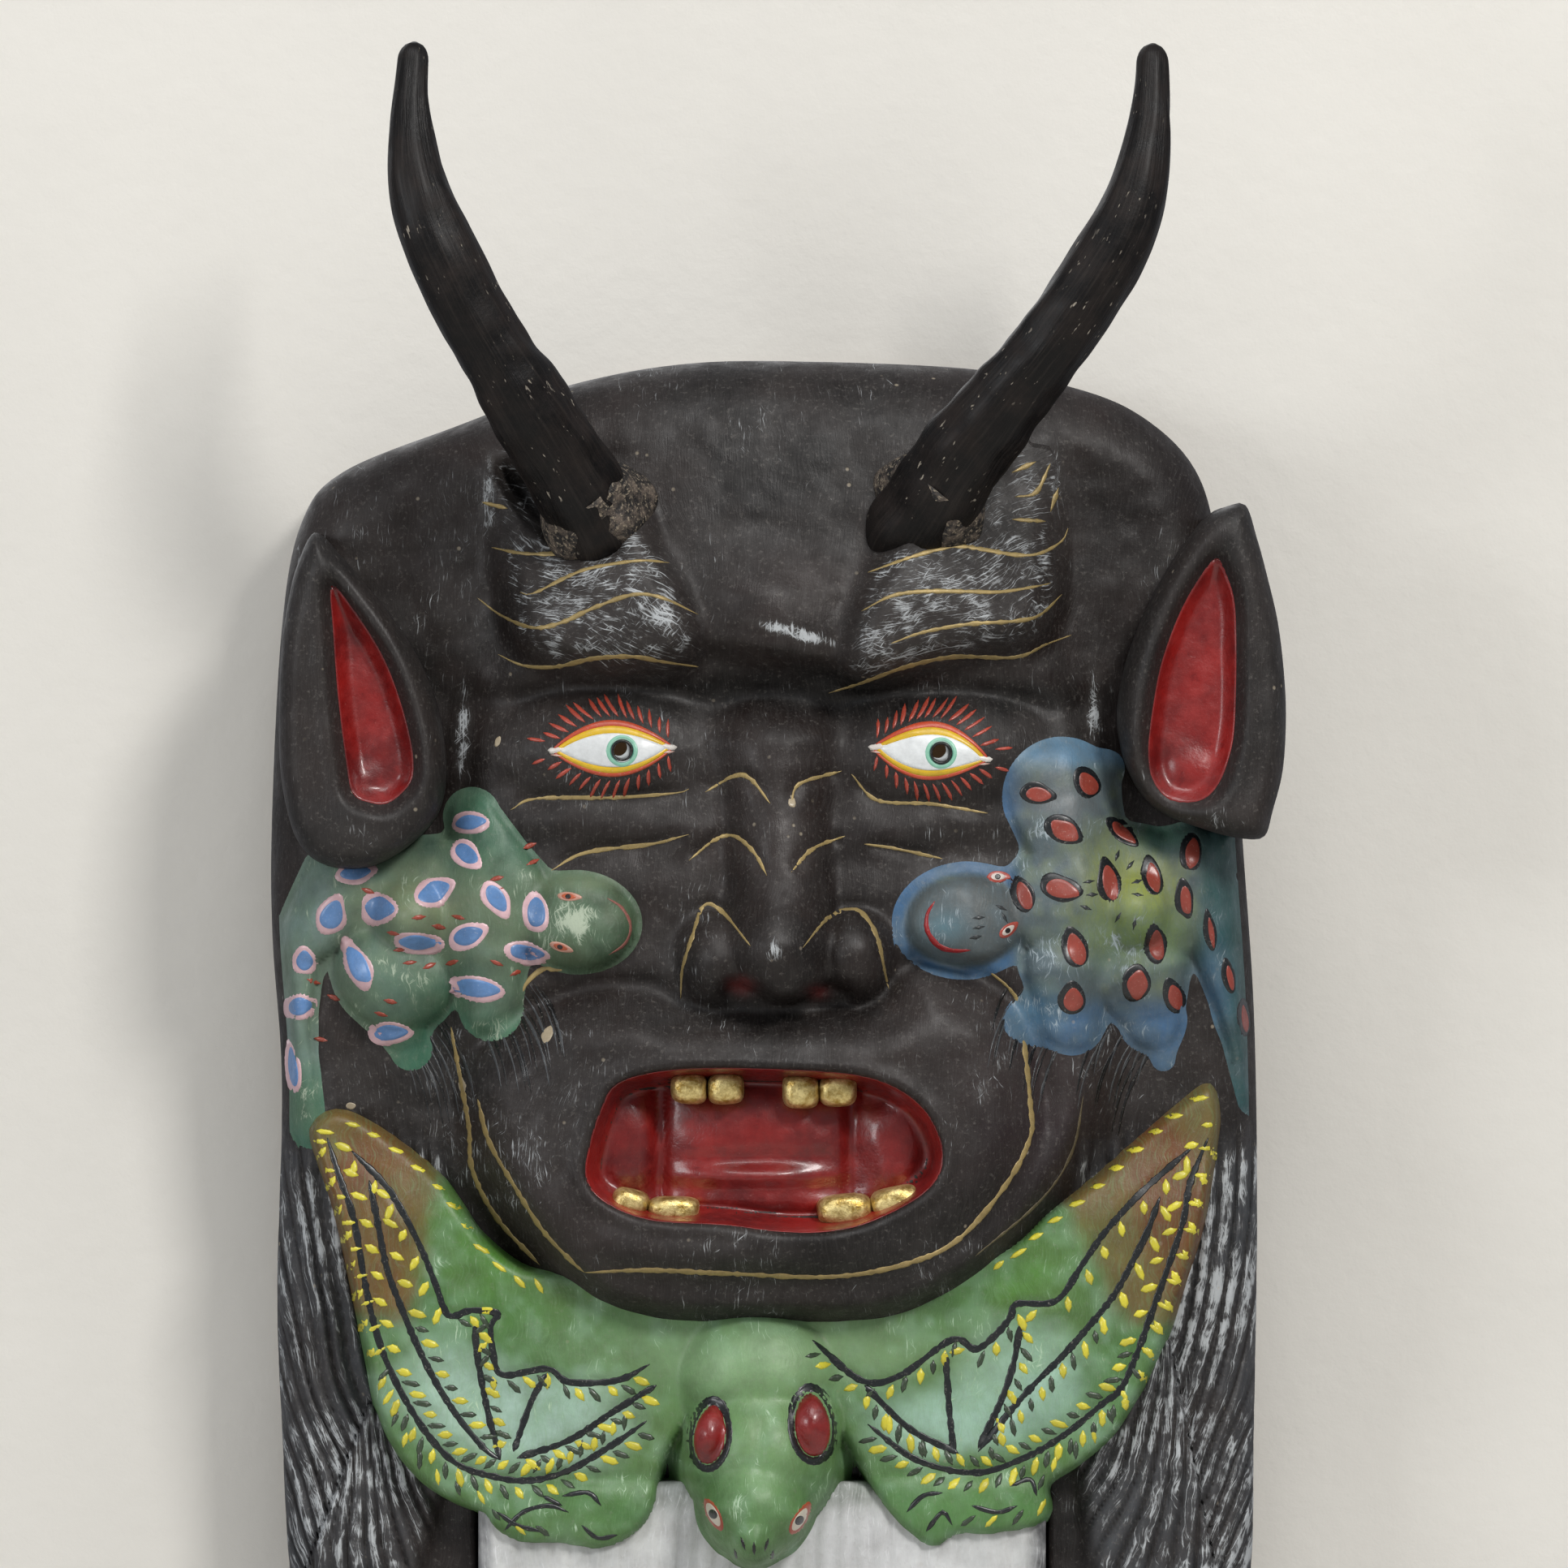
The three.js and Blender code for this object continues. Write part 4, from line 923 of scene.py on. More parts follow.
def make_block():
    edges = {
        "top": slice_of(OUTLINE, CORNERS["top_left"], CORNERS["top_right"], COLUMN_SHARES),
        "right": slice_of(OUTLINE, CORNERS["top_right"], CORNERS["low_right"], ROW_SHARES),
        "bottom": slice_of(OUTLINE, CORNERS["low_right"], CORNERS["low_left"], 1 - COLUMN_SHARES[::-1])[::-1],
        "left": slice_of(OUTLINE, CORNERS["low_left"], CORNERS["top_left"], 1 - ROW_SHARES[::-1])[::-1],
    }
    sheet = coons(edges["top"], edges["bottom"], edges["left"], edges["right"])
    rows, cols = sheet.shape[:2]
    x, z = sheet[..., 0].ravel(), sheet[..., 1].ravel()
    points = [np.stack([x, front_depth(x, z), z], 1)]
    faces = grid_faces(rows, cols).tolist()
    rim = rim_of(rows, cols)
    edge = points[0][rim]
    # side wall, with carved strands low down
    loop, count = rim, len(rim)
    total = rows * cols
    middle = np.array([CAVITY_X, CAVITY_Z])
    outward = edge[:, [0, 2]] - middle
    outward /= np.linalg.norm(outward, axis=1)[:, None]
    for share in WALL_SHARES:
        depth = edge[:, 1] * share
        bent = depth + 3 * lumps(edge[:, 0] + edge[:, 2], depth, 40, 51)
        strand = np.abs(np.sin(math.pi * bent / 9)) ** 0.6
        dent = 1.3 * (strand - 1) * ramp(-225, -250, edge[:, 2]) * ramp(0, 0.1, 1 - share)
        side = edge[:, [0, 2]] + outward * dent[:, None]
        points.append(np.stack([side[:, 0], depth, side[:, 1]], 1))
        new = total + np.arange(count)
        faces += ring_faces(loop, new).tolist()
        loop, total = new, total + count
    wall_faces = len(faces)
    # back rim, flat against the wall, then the hollow with its gouge marks
    coarse = BACK_POINTS
    pick = (np.arange(coarse) * count) // coarse
    rim_xz = edge[pick][:, [0, 2]] - 1.6 * outward[pick]
    angle = np.arctan2(rim_xz[:, 1] - middle[1], rim_xz[:, 0] - middle[0])
    reach = cavity_reach(angle)
    ray = np.stack([np.cos(angle), np.sin(angle)], 1)
    hollow_edge = middle + ray * reach[:, None]
    first = total + np.arange(coarse)
    faces += stitch(loop, first)
    points.append(np.stack([rim_xz[:, 0], np.zeros(coarse), rim_xz[:, 1]], 1))
    total += coarse
    rings = [(rim_xz * (1 - s) + hollow_edge * s, np.zeros(coarse)) for s in (0.2, 0.4, 0.6, 0.8, 0.97)]
    for depth in (1.5, 6, 11, 16, HOLLOW_WALL):
        rings.append((hollow_edge, np.full(coarse, depth)))
    for turn in np.radians([18, 36, 54, 72, 90]):
        inset = HOLLOW_ROUNDING * (1 - math.cos(turn))
        depth = HOLLOW_WALL + (CAVITY_DEPTH - HOLLOW_WALL) * math.sin(turn)
        rings.append((middle + ray * (reach - inset)[:, None], np.full(coarse, depth)))
    for share in np.linspace(0.94, 0.04, 20):
        rings.append((middle + ray * ((reach - HOLLOW_ROUNDING) * share)[:, None],
                      np.full(coarse, float(CAVITY_DEPTH))))
    for spot, depth in rings:
        scoop = 0.9 * lumps(spot[:, 0], spot[:, 1], 9, 41) + 0.8 * np.sin(
            spot[:, 1] / 3.4 + 2 * lumps(spot[:, 0], spot[:, 1], 26, 42))
        depth = np.where(depth > 3, depth + scoop * np.minimum(1, depth / 30) - 1.2, depth)
        points.append(np.stack([spot[:, 0], depth, spot[:, 1]], 1))
        new = total + np.arange(coarse)
        faces += ring_faces(first, new).tolist()
        first, total = new, total + coarse
    points.append(np.array([[middle[0], CAVITY_DEPTH, middle[1]]]))
    faces += fan(first, total)
    block = make_mesh("mask_block_carved", np.vstack(points), faces, BLACK)
    block.data.materials.append(WOOD)
    index = np.zeros(len(block.data.polygons), np.int32)
    index[wall_faces:] = 1
    block.data.polygons.foreach_set("material_index", index)
    face_outwards(block)
    peeps = [round_cutter(*EYES[side]["pupil"], (-20, 140), EYES[side]["pupil_r"]) for side in EYES]
    pocket = box_cutter((-15, 15), (-10, 7), (-54, -6))
    screws = [round_cutter(0, z, (-10, 20), 1.7, 16) for z in (-14.8, -22)]
    carve(block, peeps + [pocket] + screws)
    co = vertices_mm(block, np.float32)
    tint, drybrush_and_highlight, flow = block_paint(co[:, 0], -co[:, 1], co[:, 2])
    for key, values in (("tint", tint), ("drybrush_and_highlight", drybrush_and_highlight), ("flow", flow)):
        set_attribute(block.data, key, values)
    return finish_piece(block, "black_paint", "mask_block")


make_block()


# ---------------------------------------------------------------- mouth
def toward(outline, centre, shares):
    """Rings of points from an outline in to its centre."""
    outline = np.asarray(outline)
    return [np.asarray(centre) + (outline - centre) * (1 - s) for s in shares]


def laid(ring, surface, lift=0.0):
    return np.stack([ring[:, 0], surface(ring[:, 0], ring[:, 1]) + lift, ring[:, 1]], 1)


def make_mouth():
    shares = np.concatenate([[0, 0.012], np.linspace(0.03, 0.96, 34)])
    rings = [laid(ring, block_depth, 0.35) for ring in toward(MOUTH_EDGE, (-3.5, -231), shares)]
    rings[0][:, 1] -= 0.6
    lining = face_outwards(shell("mouth_lining", rings, 1.2, RED))
    finish_piece(lining, "mouth_red", "tongue")


make_mouth()

TEETH = {  # centre, width, height and tilt
    "tooth_upper_left_outer": (-26.8, -212.4, 11.6, 9.6, 0),
    "tooth_upper_left_inner": (-15.6, -212.4, 11.4, 10.0, 2),
    "tooth_upper_right_inner": (7.4, -213.4, 11.6, 10.8, -2),
    "tooth_upper_right_outer": (18.8, -213.2, 11.6, 10.0, 3),
    "tooth_lower_left_outer": (-45.0, -247.4, 11.6, 8.2, -14),
    "tooth_lower_left_inner": (-31.8, -249.8, 16.0, 8.4, -3),
    "tooth_lower_right_inner": (21.0, -249.8, 16.4, 9.8, 6),
    "tooth_lower_right_outer": (36.6, -247.2, 15.4, 9.2, 12),
}


def make_tooth(name, x, z, width, height, tilt, seed):
    """A gilded tooth: a squarish rounded block with a crowned, uneven face."""
    rng = np.random.default_rng(seed)
    rings = []
    count = 28
    a = around(count)
    wave = sum(rng.uniform(-0.04, 0.04) * np.cos(k * a + rng.uniform(0, 6)) for k in (1, 2, 3))
    c, s = math.cos(math.radians(tilt)), math.sin(math.radians(tilt))
    for turn in np.radians([0, 14, 30, 46, 62, 76, 86]):
        size = math.cos(turn) ** 0.5
        power = 2 / (3.4 - 1.2 * math.sin(turn))
        u = np.sign(np.cos(a)) * np.abs(np.cos(a)) ** power * width / 2 * size * (1 + wave)
        v = np.sign(np.sin(a)) * np.abs(np.sin(a)) ** power * height / 2 * size * (1 + wave)
        depth = 85.5 + 8.0 * math.sin(turn) ** 0.55
        px, pz = x + u * c - v * s, z + u * s + v * c
        rings.append(np.stack([px, np.full(count, depth) + 0.25 * lumps(px, pz, 2.6, seed), pz], 1))
    tooth = face_outwards(shell(name + "_gilt", rings, 8.0, GOLD_LEAF))
    finish_piece(tooth, "gilding", name)


for number, (name, size) in enumerate(TEETH.items()):
    make_tooth(name, *size, seed=60 + number)


# ---------------------------------------------------------------- eyes
def almond(eye, grow_top=0.0, grow_low=0.0, grow_side=0.0, count=36):
    """A closed eye shape through two corners, with its upper and lower lids as arcs."""
    (ax, az), (bx, bz) = eye["corners"]
    ax, bx = ax - grow_side, bx + grow_side
    t = np.linspace(0, 1, count)
    base = az + (bz - az) * t
    arch = np.sin(math.pi * t) ** 0.85
    upper = base + (eye["top"] + grow_top - base) * arch
    lower = base + (eye["bottom"] - grow_low - base) * arch
    x = ax + (bx - ax) * t
    return np.vstack([np.stack([x, upper], 1), np.stack([x, lower], 1)[-2:0:-1]])


def circle_round(outline, centre, radius):
    """The point of a circle that each outline point looks at."""
    aim = np.asarray(outline) - centre
    return np.asarray(centre) + aim / np.linalg.norm(aim, axis=1)[:, None] * radius


PUPIL_SIDES, GLINT_POINTS = 32, 24
PUPIL_WALL = [(0.5, 0.35), (0.1, 0.75), (-0.35, 0.3), (-0.35, -7), (0.5, -7)]  # wider than the hole, depth


def make_eye(side, eye, seed):
    paint = Paintwork(FRONT, seed)
    pupil = np.array(eye["pupil"])
    white = almond(eye)
    paint.band(almond(eye, 4.2, 3.0, 1.5), almond(eye, 1.6, 1.4, 0.4), "b3452a", lift=0.22, loops=4)
    paint.band(almond(eye, 2.6, 2.1, 0.6), almond(eye, -0.8, -0.8, -1.5), "d3ac1f", lift=0.32, loops=4)
    paint.band(white, circle_round(white, pupil, eye["pupil_r"] + 0.1), "dfe2e2", lift=0.42, loops=9)
    ring = circle_round(white, pupil, eye["iris_r"] + 1.0)
    paint.band(ring, circle_round(white, pupil, eye["pupil_r"]), "86bfa6", lift=0.52, loops=4)
    inner = circle_round(white, pupil, eye["iris_r"] - 0.4)
    paint.band(inner, circle_round(white, pupil, eye["pupil_r"] - 0.05), "3f7f6c", lift=0.57, loops=3)
    for (cx, cz), way in zip(eye["corners"], (-1, 1)):
        paint.stroke([(cx + way * 2.4, cz + 0.2), (cx + way * 0.5, cz), (cx - way * 3.0, cz + 0.9)], 2.3,
                     "d9d3cb", lift=0.5)
        paint.stroke([(cx + way * 1.6, cz - 1.2), (cx - way * 2.0, cz - 1.6)], 1.1, "c9a79c", lift=0.5)
    paint.finish(f"eye_{side}_paint", ARTIST, "black_paint")
    # the pierced pupil: a short painted wall, and a pale crescent low down on one side that is a painted
    # glint
    a = around(PUPIL_SIDES)
    depth = float(FRONT(pupil[:1], pupil[1:])[0])
    wall = []
    for wider, d in PUPIL_WALL:
        r = eye["pupil_r"] + wider
        wall.append(np.stack([pupil[0] + r * np.cos(a), np.full(PUPIL_SIDES, depth + d),
                              pupil[1] + r * np.sin(a)], 1))
    rim = face_outwards(make_mesh(f"pupil_{side}_rim", np.vstack(wall),
                                  loft(len(wall), PUPIL_SIDES, closed=True),
                                  BLACK_LINE, tint=srgb("141313")))
    finish_piece(rim, "black_paint")
    b = np.radians(np.linspace(-150, 60, GLINT_POINTS))
    thick = 1.5 * np.sin(np.linspace(0, math.pi, GLINT_POINTS)) ** 0.8 + 0.15
    way, radius = np.stack([np.cos(b), np.sin(b)], 1), eye["pupil_r"] - 0.3
    outer, inner = pupil + way * radius, pupil + way * (radius - thick)[:, None]
    flat = np.vstack([outer, inner[::-1]])
    level = Paintwork(lambda x, z: np.full(np.shape(x), depth - 0.8), seed + 5)
    n = len(flat)
    height = np.concatenate([np.zeros(n), np.full(n, -1.0)])
    strip = [[i, i + 1, n - 2 - i, n - 1 - i] for i in range(GLINT_POINTS - 1)]
    faces = strip + [[n + i for i in quad[::-1]] for quad in strip]
    faces += ring_faces(np.arange(n), n + np.arange(n), flip=True).tolist()
    level.add(*np.tile(flat.T, 2), height, faces, "a9adad")
    level.finish(f"pupil_{side}_glint", ARTIST, "black_paint")


def make_lashes(side, eye, seed):
    """Short red strokes that fan out from the painted rim, above and below."""
    rng = np.random.default_rng(seed)
    paint = Paintwork(FRONT, seed)
    way = -1 if side == "left" else 1
    (ax, az), (bx, bz) = eye["corners"]
    outer_x, inner_x = (ax, bx) if side == "left" else (bx, ax)
    outer_z, inner_z = (az, bz) if side == "left" else (bz, az)
    for count, edge_z, gap, start_angle, end_angle, long, short in (
            (15, eye["top"], 5.0, 6, 88, 8.0, 5.6), (13, eye["bottom"], -3.9, -18, -98, 6.2, 4.6)):
        for k in range(count):
            t = k / (count - 1)
            across = t * 1.02 - 0.03
            x = outer_x + (inner_x - outer_x) * across + way * (2.2 if k == 0 else 0)
            base = outer_z + (inner_z - outer_z) * across
            arch = math.sin(math.pi * min(max(across, 0.02), 0.98)) ** 0.85
            z = base + (edge_z - base) * arch + gap * (0.45 + 0.55 * arch)
            angle = math.radians(start_angle + (end_angle - start_angle) * t ** 0.75 + rng.uniform(-5, 5))
            growth = math.sin(math.pi * min(1, t * 1.15)) ** 0.8
            length = (short + (long - short) * growth) * rng.uniform(0.88, 1.1)
            dx, dz = way * math.cos(angle), math.sin(angle)
            bend = way * 0.08 * length
            line = [(x, z), (x + dx * length * 0.5 + bend * 0.4, z + dz * length * 0.5),
                    (x + dx * length, z + dz * length)]
            paint.stroke(line, rng.uniform(1.15, 1.5), "a5402f", lift=0.28, taper=0.3)
    paint.finish(f"lashes_{side}", ARTIST, "black_paint")


for number, (side, eye) in enumerate(EYES.items()):
    make_eye(side, eye, 200 + number)
    make_lashes(side, eye, 210 + number)


# ---------------------------------------------------------------- gold lines on the face
BROW_LINES = [
    [(-91, -32), (-83, -34)],
    [(-88, -46), (-78, -48), (-66, -48), (-51.5, -46), (-48.5, -45)],
    [(-79, -60), (-75, -60.5), (-63.5, -55), (-56, -52.5), (-42, -50.5), (-33, -51)],
    [(-92.5, -61.5), (-85, -67), (-75, -71), (-66, -69.5), (-56, -65), (-44, -61), (-35, -62), (-24, -67)],
    [(-86, -79), (-78, -82.5), (-68, -83), (-56, -80.5), (-44, -80), (-35, -81.5), (-24, -83)],
    [(28, -54), (42.5, -49), (54.5, -46), (64, -47), (73.5, -48.5), (81, -48), (88, -44), (90, -40)],
    [(26, -66), (35, -61.5), (45, -60), (59, -60), (69, -60), (81, -58), (84.5, -57)],
    [(35, -76), (45, -72.5), (59, -70), (73.5, -69), (81, -67), (88, -60.5)],
    [(16, -91), (26, -88), (40, -83), (54.5, -80), (73.5, -80), (83, -76), (91, -73)],
    [(72.5, -23), (80, -19.5)],
    [(73.5, -30.5), (80, -29), (84.5, -20)],
    [(72.5, -37.5), (83, -38)],
    [(84.5, -35), (87, -27.5)],
]
MUZZLE_LINES = [
    [(-59, -269), (-39, -268), (-14.5, -269), (17, -270), (40, -266), (56, -258.5), (70.5, -242),
     (78, -227.5), (78, -217), (75, -190), (72, -182.5), (64.5, -176)],
    [(-100.5, -194), (-98, -208), (-95, -224.5), (-94, -238), (-86.5, -253), (-73, -267.5)],
    [(-92, -216), (-88.5, -229), (-80, -243.5), (-72, -256), (-63, -265.5), (-59, -269)],
    [(-52, -175), (-66, -176), (-72, -176), (-77.5, -181), (-81, -189)],
]
FAINT_LINES = [[(94.5, -215), (91, -232.5), (81, -247.5), (61, -264)]]


def make_gold_lines():
    paint = Paintwork(FRONT, 300)
    for line in BROW_LINES + EYE_FOLDS + NOSE_FOLDS + WING_FOLDS:
        paint.stroke(line, 1.5, "a8925f", lift=0.3, ragged=0.35, taper=0.3)
    for line in MUZZLE_LINES:
        paint.stroke(line, 1.8, "a8925f", lift=0.3, ragged=0.35, taper=0.1)
    for line in FAINT_LINES:
        paint.stroke(line, 0.9, "6a5f48", lift=0.2, ragged=0.4)
    paint.finish("gold_lines", GOLD_LINE, "gilding")


make_gold_lines()


def make_whiskers():
    """Hair strokes below the toads' feet, dark and pale by turns, and chips down to the pale ground."""
    paint = Paintwork(FRONT, 330)
    rng = np.random.default_rng(331)
    for way in (-1, 1):
        for left, top, number in ((118, -198, 14), (93, -190, 18)):
            for k in range(number):
                start_x, start_z = left - 1.2 * k + rng.uniform(-1, 1), top + 0.6 * k + rng.uniform(-4, 2)
                reach = rng.uniform(12, 30)
                line = [(way * (start_x - reach * a), start_z - reach * b)
                        for a, b in ((0, 0), (0.2, 0.3), (0.33, 0.62), (0.4, 0.95))]
                paint.stroke(line, rng.uniform(0.6, 1.3), "080707" if k % 2 else "3f4143", lift=0.16,
                             taper=0.5, ragged=0.4)
    for cx, cz, rx, rz, tilt in ((-70.5, -196, 2.9, 1.7, 60), (4.7, -124.5, 1.2, 1.9, 10),
                                 (-131.7, -218.5, 1.5, 1.2, 0), (-86, -106, 1.7, 0.9, 70),
                                 (-97, -212, 1.3, 2.6, 10), (-45, -226, 2.2, 0.8, 20)):
        paint.daub(leaf(cx, cz, rx, rz, tilt, 0.5, random=rng), "a3957c", lift=0.16)
    paint.finish("whiskers", ARTIST, "gilding")


make_whiskers()


# ---------------------------------------------------------------- toads
def limb(x, z, a, b, radii, heights, power=0.55):
    """Height of a rounded limb from a to b; below zero outside it."""
    (ax, az), (bx, bz) = a, b
    ux, uz = bx - ax, bz - az
    t = np.clip(((x - ax) * ux + (z - az) * uz) / max(ux * ux + uz * uz, 1e-6), 0, 1)
    r = radii[0] + (radii[1] - radii[0]) * t
    h = heights[0] + (heights[1] - heights[0]) * t
    q = np.hypot(x - ax - t * ux, z - az - t * uz) / r
    return np.where(q < 1, h * np.maximum(0, 1 - q * q) ** power, (1 - q) * r * 0.8)


def oval_limb(x, z, cx, cz, rx, rz, h, tilt=0.0, power=0.55):
    q = np.sqrt(oval(x, z, cx, cz, rx, rz, tilt))
    return np.where(q < 1, h * np.maximum(0, 1 - q * q) ** power, (1 - q) * min(rx, rz) * 0.8)


def blend_all(parts, k=2.5):
    whole = parts[0]
    for part in parts[1:]:
        whole = higher(whole, part, k)
    return whole


def painted_edge(x, z, height, reach=1.6):
    """Lets the paint run a little way onto the block round a carving, and ends it at the block's edge."""
    height = np.maximum(height, np.minimum(0.4, (height + reach * 0.8) * 0.5))
    return np.minimum(height, 2.5 * inside(x, z, OUTLINE) - 7.0)


def toad_left(x, z):
    parts = [
        oval_limb(x, z, -61.5, -161.5, 18.2, 14.5, 12, -4, 0.5),
        oval_limb(x, z, -103, -157, 35, 21, 12),
        limb(x, z, (-94, -129), (-86, -150), (7.5, 14), (4, 9)),
        limb(x, z, (-90, -172), (-88, -188), (13, 8.5), (10, 3.5)),
        oval_limb(x, z, -118, -178, 19, 17, 15, -30),
        limb(x, z, (-117, -190), (-113, -201), (9, 5), (8, 1.5)),
        limb(x, z, (-134, -152), (-149, -170), (14, 8), (11, 9)),
        limb(x, z, (-149, -170), (-151, -196), (8, 7), (9, 8)),
        limb(x, z, (-151, -196), (-145, -226), (7, 4.5), (8, 2.5)),
    ]
    return painted_edge(x, z, blend_all(parts))


def toad_right(x, z):
    parts = [
        oval_limb(x, z, 58, -161, 18, 13.8, 12, 4, 0.5),
        oval_limb(x, z, 104, -155, 34, 23, 13),
        limb(x, z, (88, -123), (92, -136), (17, 15), (7, 10)),
        limb(x, z, (98, -118), (102, -114), (8, 4), (4, 2)),
        limb(x, z, (90, -176), (91, -192), (14, 9), (11, 4)),
        limb(x, z, (112, -178), (116, -192), (16, 9), (12, 4)),
        limb(x, z, (119, -192), (119.5, -204), (5, 2.2), (2.5, 0.6)),
        limb(x, z, (128, -145), (137, -166), (13, 9.5), (11, 9)),
        limb(x, z, (137, -166), (144, -190), (9.5, 7), (9, 8)),
        limb(x, z, (144, -190), (149, -216), (7, 5), (8, 3)),
        limb(x, z, (138, -139), (146, -140), (7, 6), (8, 6)),
        oval_limb(x, z, 58, -161, 20.5, 16.5, 1.2, 4),
        oval_limb(x, z, 86, -190, 14, 8, 1.0, 10),
    ]
    return painted_edge(x, z, blend_all(parts))


def relief_piece(name, height_at, ground, xs, zs, material, paint, step=1.1, sunk=3.0, floor=4.5):
    """A closed carving: height_at above the ground, dipping under it at its edge to end cleanly."""
    x, z = np.meshgrid(np.arange(xs[0], xs[1], step), np.arange(zs[0], zs[1], step)[::-1])
    height = height_at(x, z)
    keep = height > -sunk
    cell = keep[:-1, :-1] | keep[1:, :-1] | keep[:-1, 1:] | keep[1:, 1:]
    rows, cols = x.shape
    quads = grid_faces(rows, cols).reshape(rows - 1, cols - 1, 4)[cell]
    used = np.unique(quads)
    slot_of = np.full(rows * cols, -1)
    slot_of[used] = np.arange(len(used))
    quads = slot_of[quads]
    x, z, height = x.ravel()[used], z.ravel()[used], np.maximum(height.ravel()[used], -sunk)
    base = ground(x, z)
    front = np.stack([x, base + height, z], 1)
    back = np.stack([x, base - floor, z], 1)
    count = len(used)
    sides = np.concatenate([quads[:, [k, (k + 1) % 4]] for k in range(4)])
    twin = {(int(a), int(b)) for a, b in sides}
    walls = [[a, a + count, b + count, b] for a, b in twin if (b, a) not in twin]
    faces = quads.tolist() + (quads[:, ::-1] + count).tolist() + sorted(walls)
    points = np.vstack([front, back])
    tint, drybrush_and_highlight, flow = paint(points[:, 0], points[:, 2])
    return face_outwards(make_mesh(name, points, faces, material, tint=tint,
                                   extra={"drybrush_and_highlight": drybrush_and_highlight, "flow": flow}))


def blend_colours(base, *patches):
    """Colour over an area: each patch is a hex colour and how strongly it covers each point."""
    tint = np.broadcast_to(srgb(base), (len(patches[0][1]), 3)).copy()
    for code, cover in patches:
        cover = np.clip(cover, 0, 1)[:, None]
        tint = tint * (1 - cover) + srgb(code) * cover
    return tint


def toad_left_paint(x, z):
    head = ramp(-82, -72, x)
    rough = 0.35 * lumps(x, z, 7, 71) + 0.35 * lumps(x, z, 3, 72)
    tint = blend_colours(
        "50685a", ("7d8667", swell(x, z, -108, -156, 24, 13) + rough * 0.6), ("28452f", head * 0.8),
        ("3a604a", swell(x, z, -84, -140, 14, 14) + swell(x, z, -92, -126, 8, 6)),
        ("748c88", ramp(-128, -140, x) * 0.9),
        ("5b7a70", ramp(-150, -148, z) * swell(x, z, -130, -150, 10, 8)),
        ("2d573d", swell(x, z, -104, -187, 12, 12) * 0.9),
        ("376750", ramp(-186, -196, z) * ramp(-125, -118, x)),
        ("54776f", swell(x, z, -122, -184, 11, 14) * 0.7), ("7c8c72", swell(x, z, -60, -149, 14, 3) * 0.8),
        ("3d6f5c", ramp(-200, -215, z) * ramp(-132, -138, x)))
    # painted highlight: the pale patch in the middle of the head
    drybrush_and_highlight = 1.3 * swell(x, z, -62, -161, 7, 4.5) + 0.6 * swell(x, z, -93, -160, 5, 4) + 0.6 + rough
    drybrush_and_highlight = drybrush_and_highlight + 0.4 * swell(x, z, -121, -178, 8, 6) + 0.6 * swell(x, z, -146, -215, 4, 10)
    return tint, np.clip(drybrush_and_highlight, 0, 2), np.stack([x + 3 * rough, z, x * 0], 1) * MM


def toad_right_paint(x, z):
    rough = 0.35 * lumps(x, z, 7, 73) + 0.35 * lumps(x, z, 3, 74)
    head = oval(x, z, 58, -161, 18, 13.8, 4)
    lower = ramp(-182, -192, z) * ramp(70, 80, x)
    tint = blend_colours(
        "525f62", ("98a03a", swell(x, z, 109, -150, 15, 13) + rough * 0.6),
        ("7a9448", swell(x, z, 112, -166, 16, 9) * 0.9),
        ("54595a", ramp(1.1, 0.8, head)), ("3a648c", ramp(0.95, 1.25, head) * ramp(78, 70, x)),
        ("5b8fa0", swell(x, z, 51, -163, 6, 5) * 0.7), ("66696a", swell(x, z, 88, -125, 12, 9) * 0.8),
        ("5d7f98", ramp(-117, -110, z)), ("3c6690", lower * 0.8), ("3f7294", swell(x, z, 80, -188, 7, 7)),
        ("28524f", ramp(128, 134, x) * 0.9), ("365f85", swell(x, z, 134, -185, 6, 16) * 0.8),
        ("4c7a63", swell(x, z, 119, -134, 10, 6) * 0.8))
    drybrush_and_highlight = (0.75 * swell(x, z, 84, -133, 6, 5) + 0.7 * swell(x, z, 83, -173, 7, 6)
           + 0.5 * swell(x, z, 109, -172, 10, 6))
    drybrush_and_highlight = drybrush_and_highlight + 0.55 + rough + 0.5 * swell(x, z, 53, -164, 4, 4) + 0.4 * swell(x, z, 86, -192, 8, 5)
    return tint, np.clip(drybrush_and_highlight, 0, 2), np.stack([x + 3 * rough, z, x * 0], 1) * MM


SPOTS_LEFT = [  # centre, half-sizes and tilt of each spot
    (-95, -131, 5.6, 3.2, 4), (-96, -140.5, 4.8, 3.6, -35), (-130.5, -146.5, 5.5, 3.2, 8),
    (-106, -152.5, 5.8, 4.2, 22), (-86.5, -154, 5.4, 3.6, -55), (-74, -159, 4, 5.4, 4),
    (-123, -157.5, 5.4, 4.8, 0), (-137.5, -160, 4.6, 5.4, -25), (-95.5, -166, 5.6, 3.8, 22),
    (-111, -168, 7, 3.2, -4), (-129, -175.5, 4, 7.2, 28), (-77.5, -171, 6.4, 3.2, -8),
    (-93, -182, 8.2, 3.8, -6), (-146, -174, 3.6, 3.8, 0), (-148, -188, 4.6, 3.8, 12),
    (-120, -196, 6.2, 3.4, 4), (-150, -207.5, 2.6, 6.8, 6)]
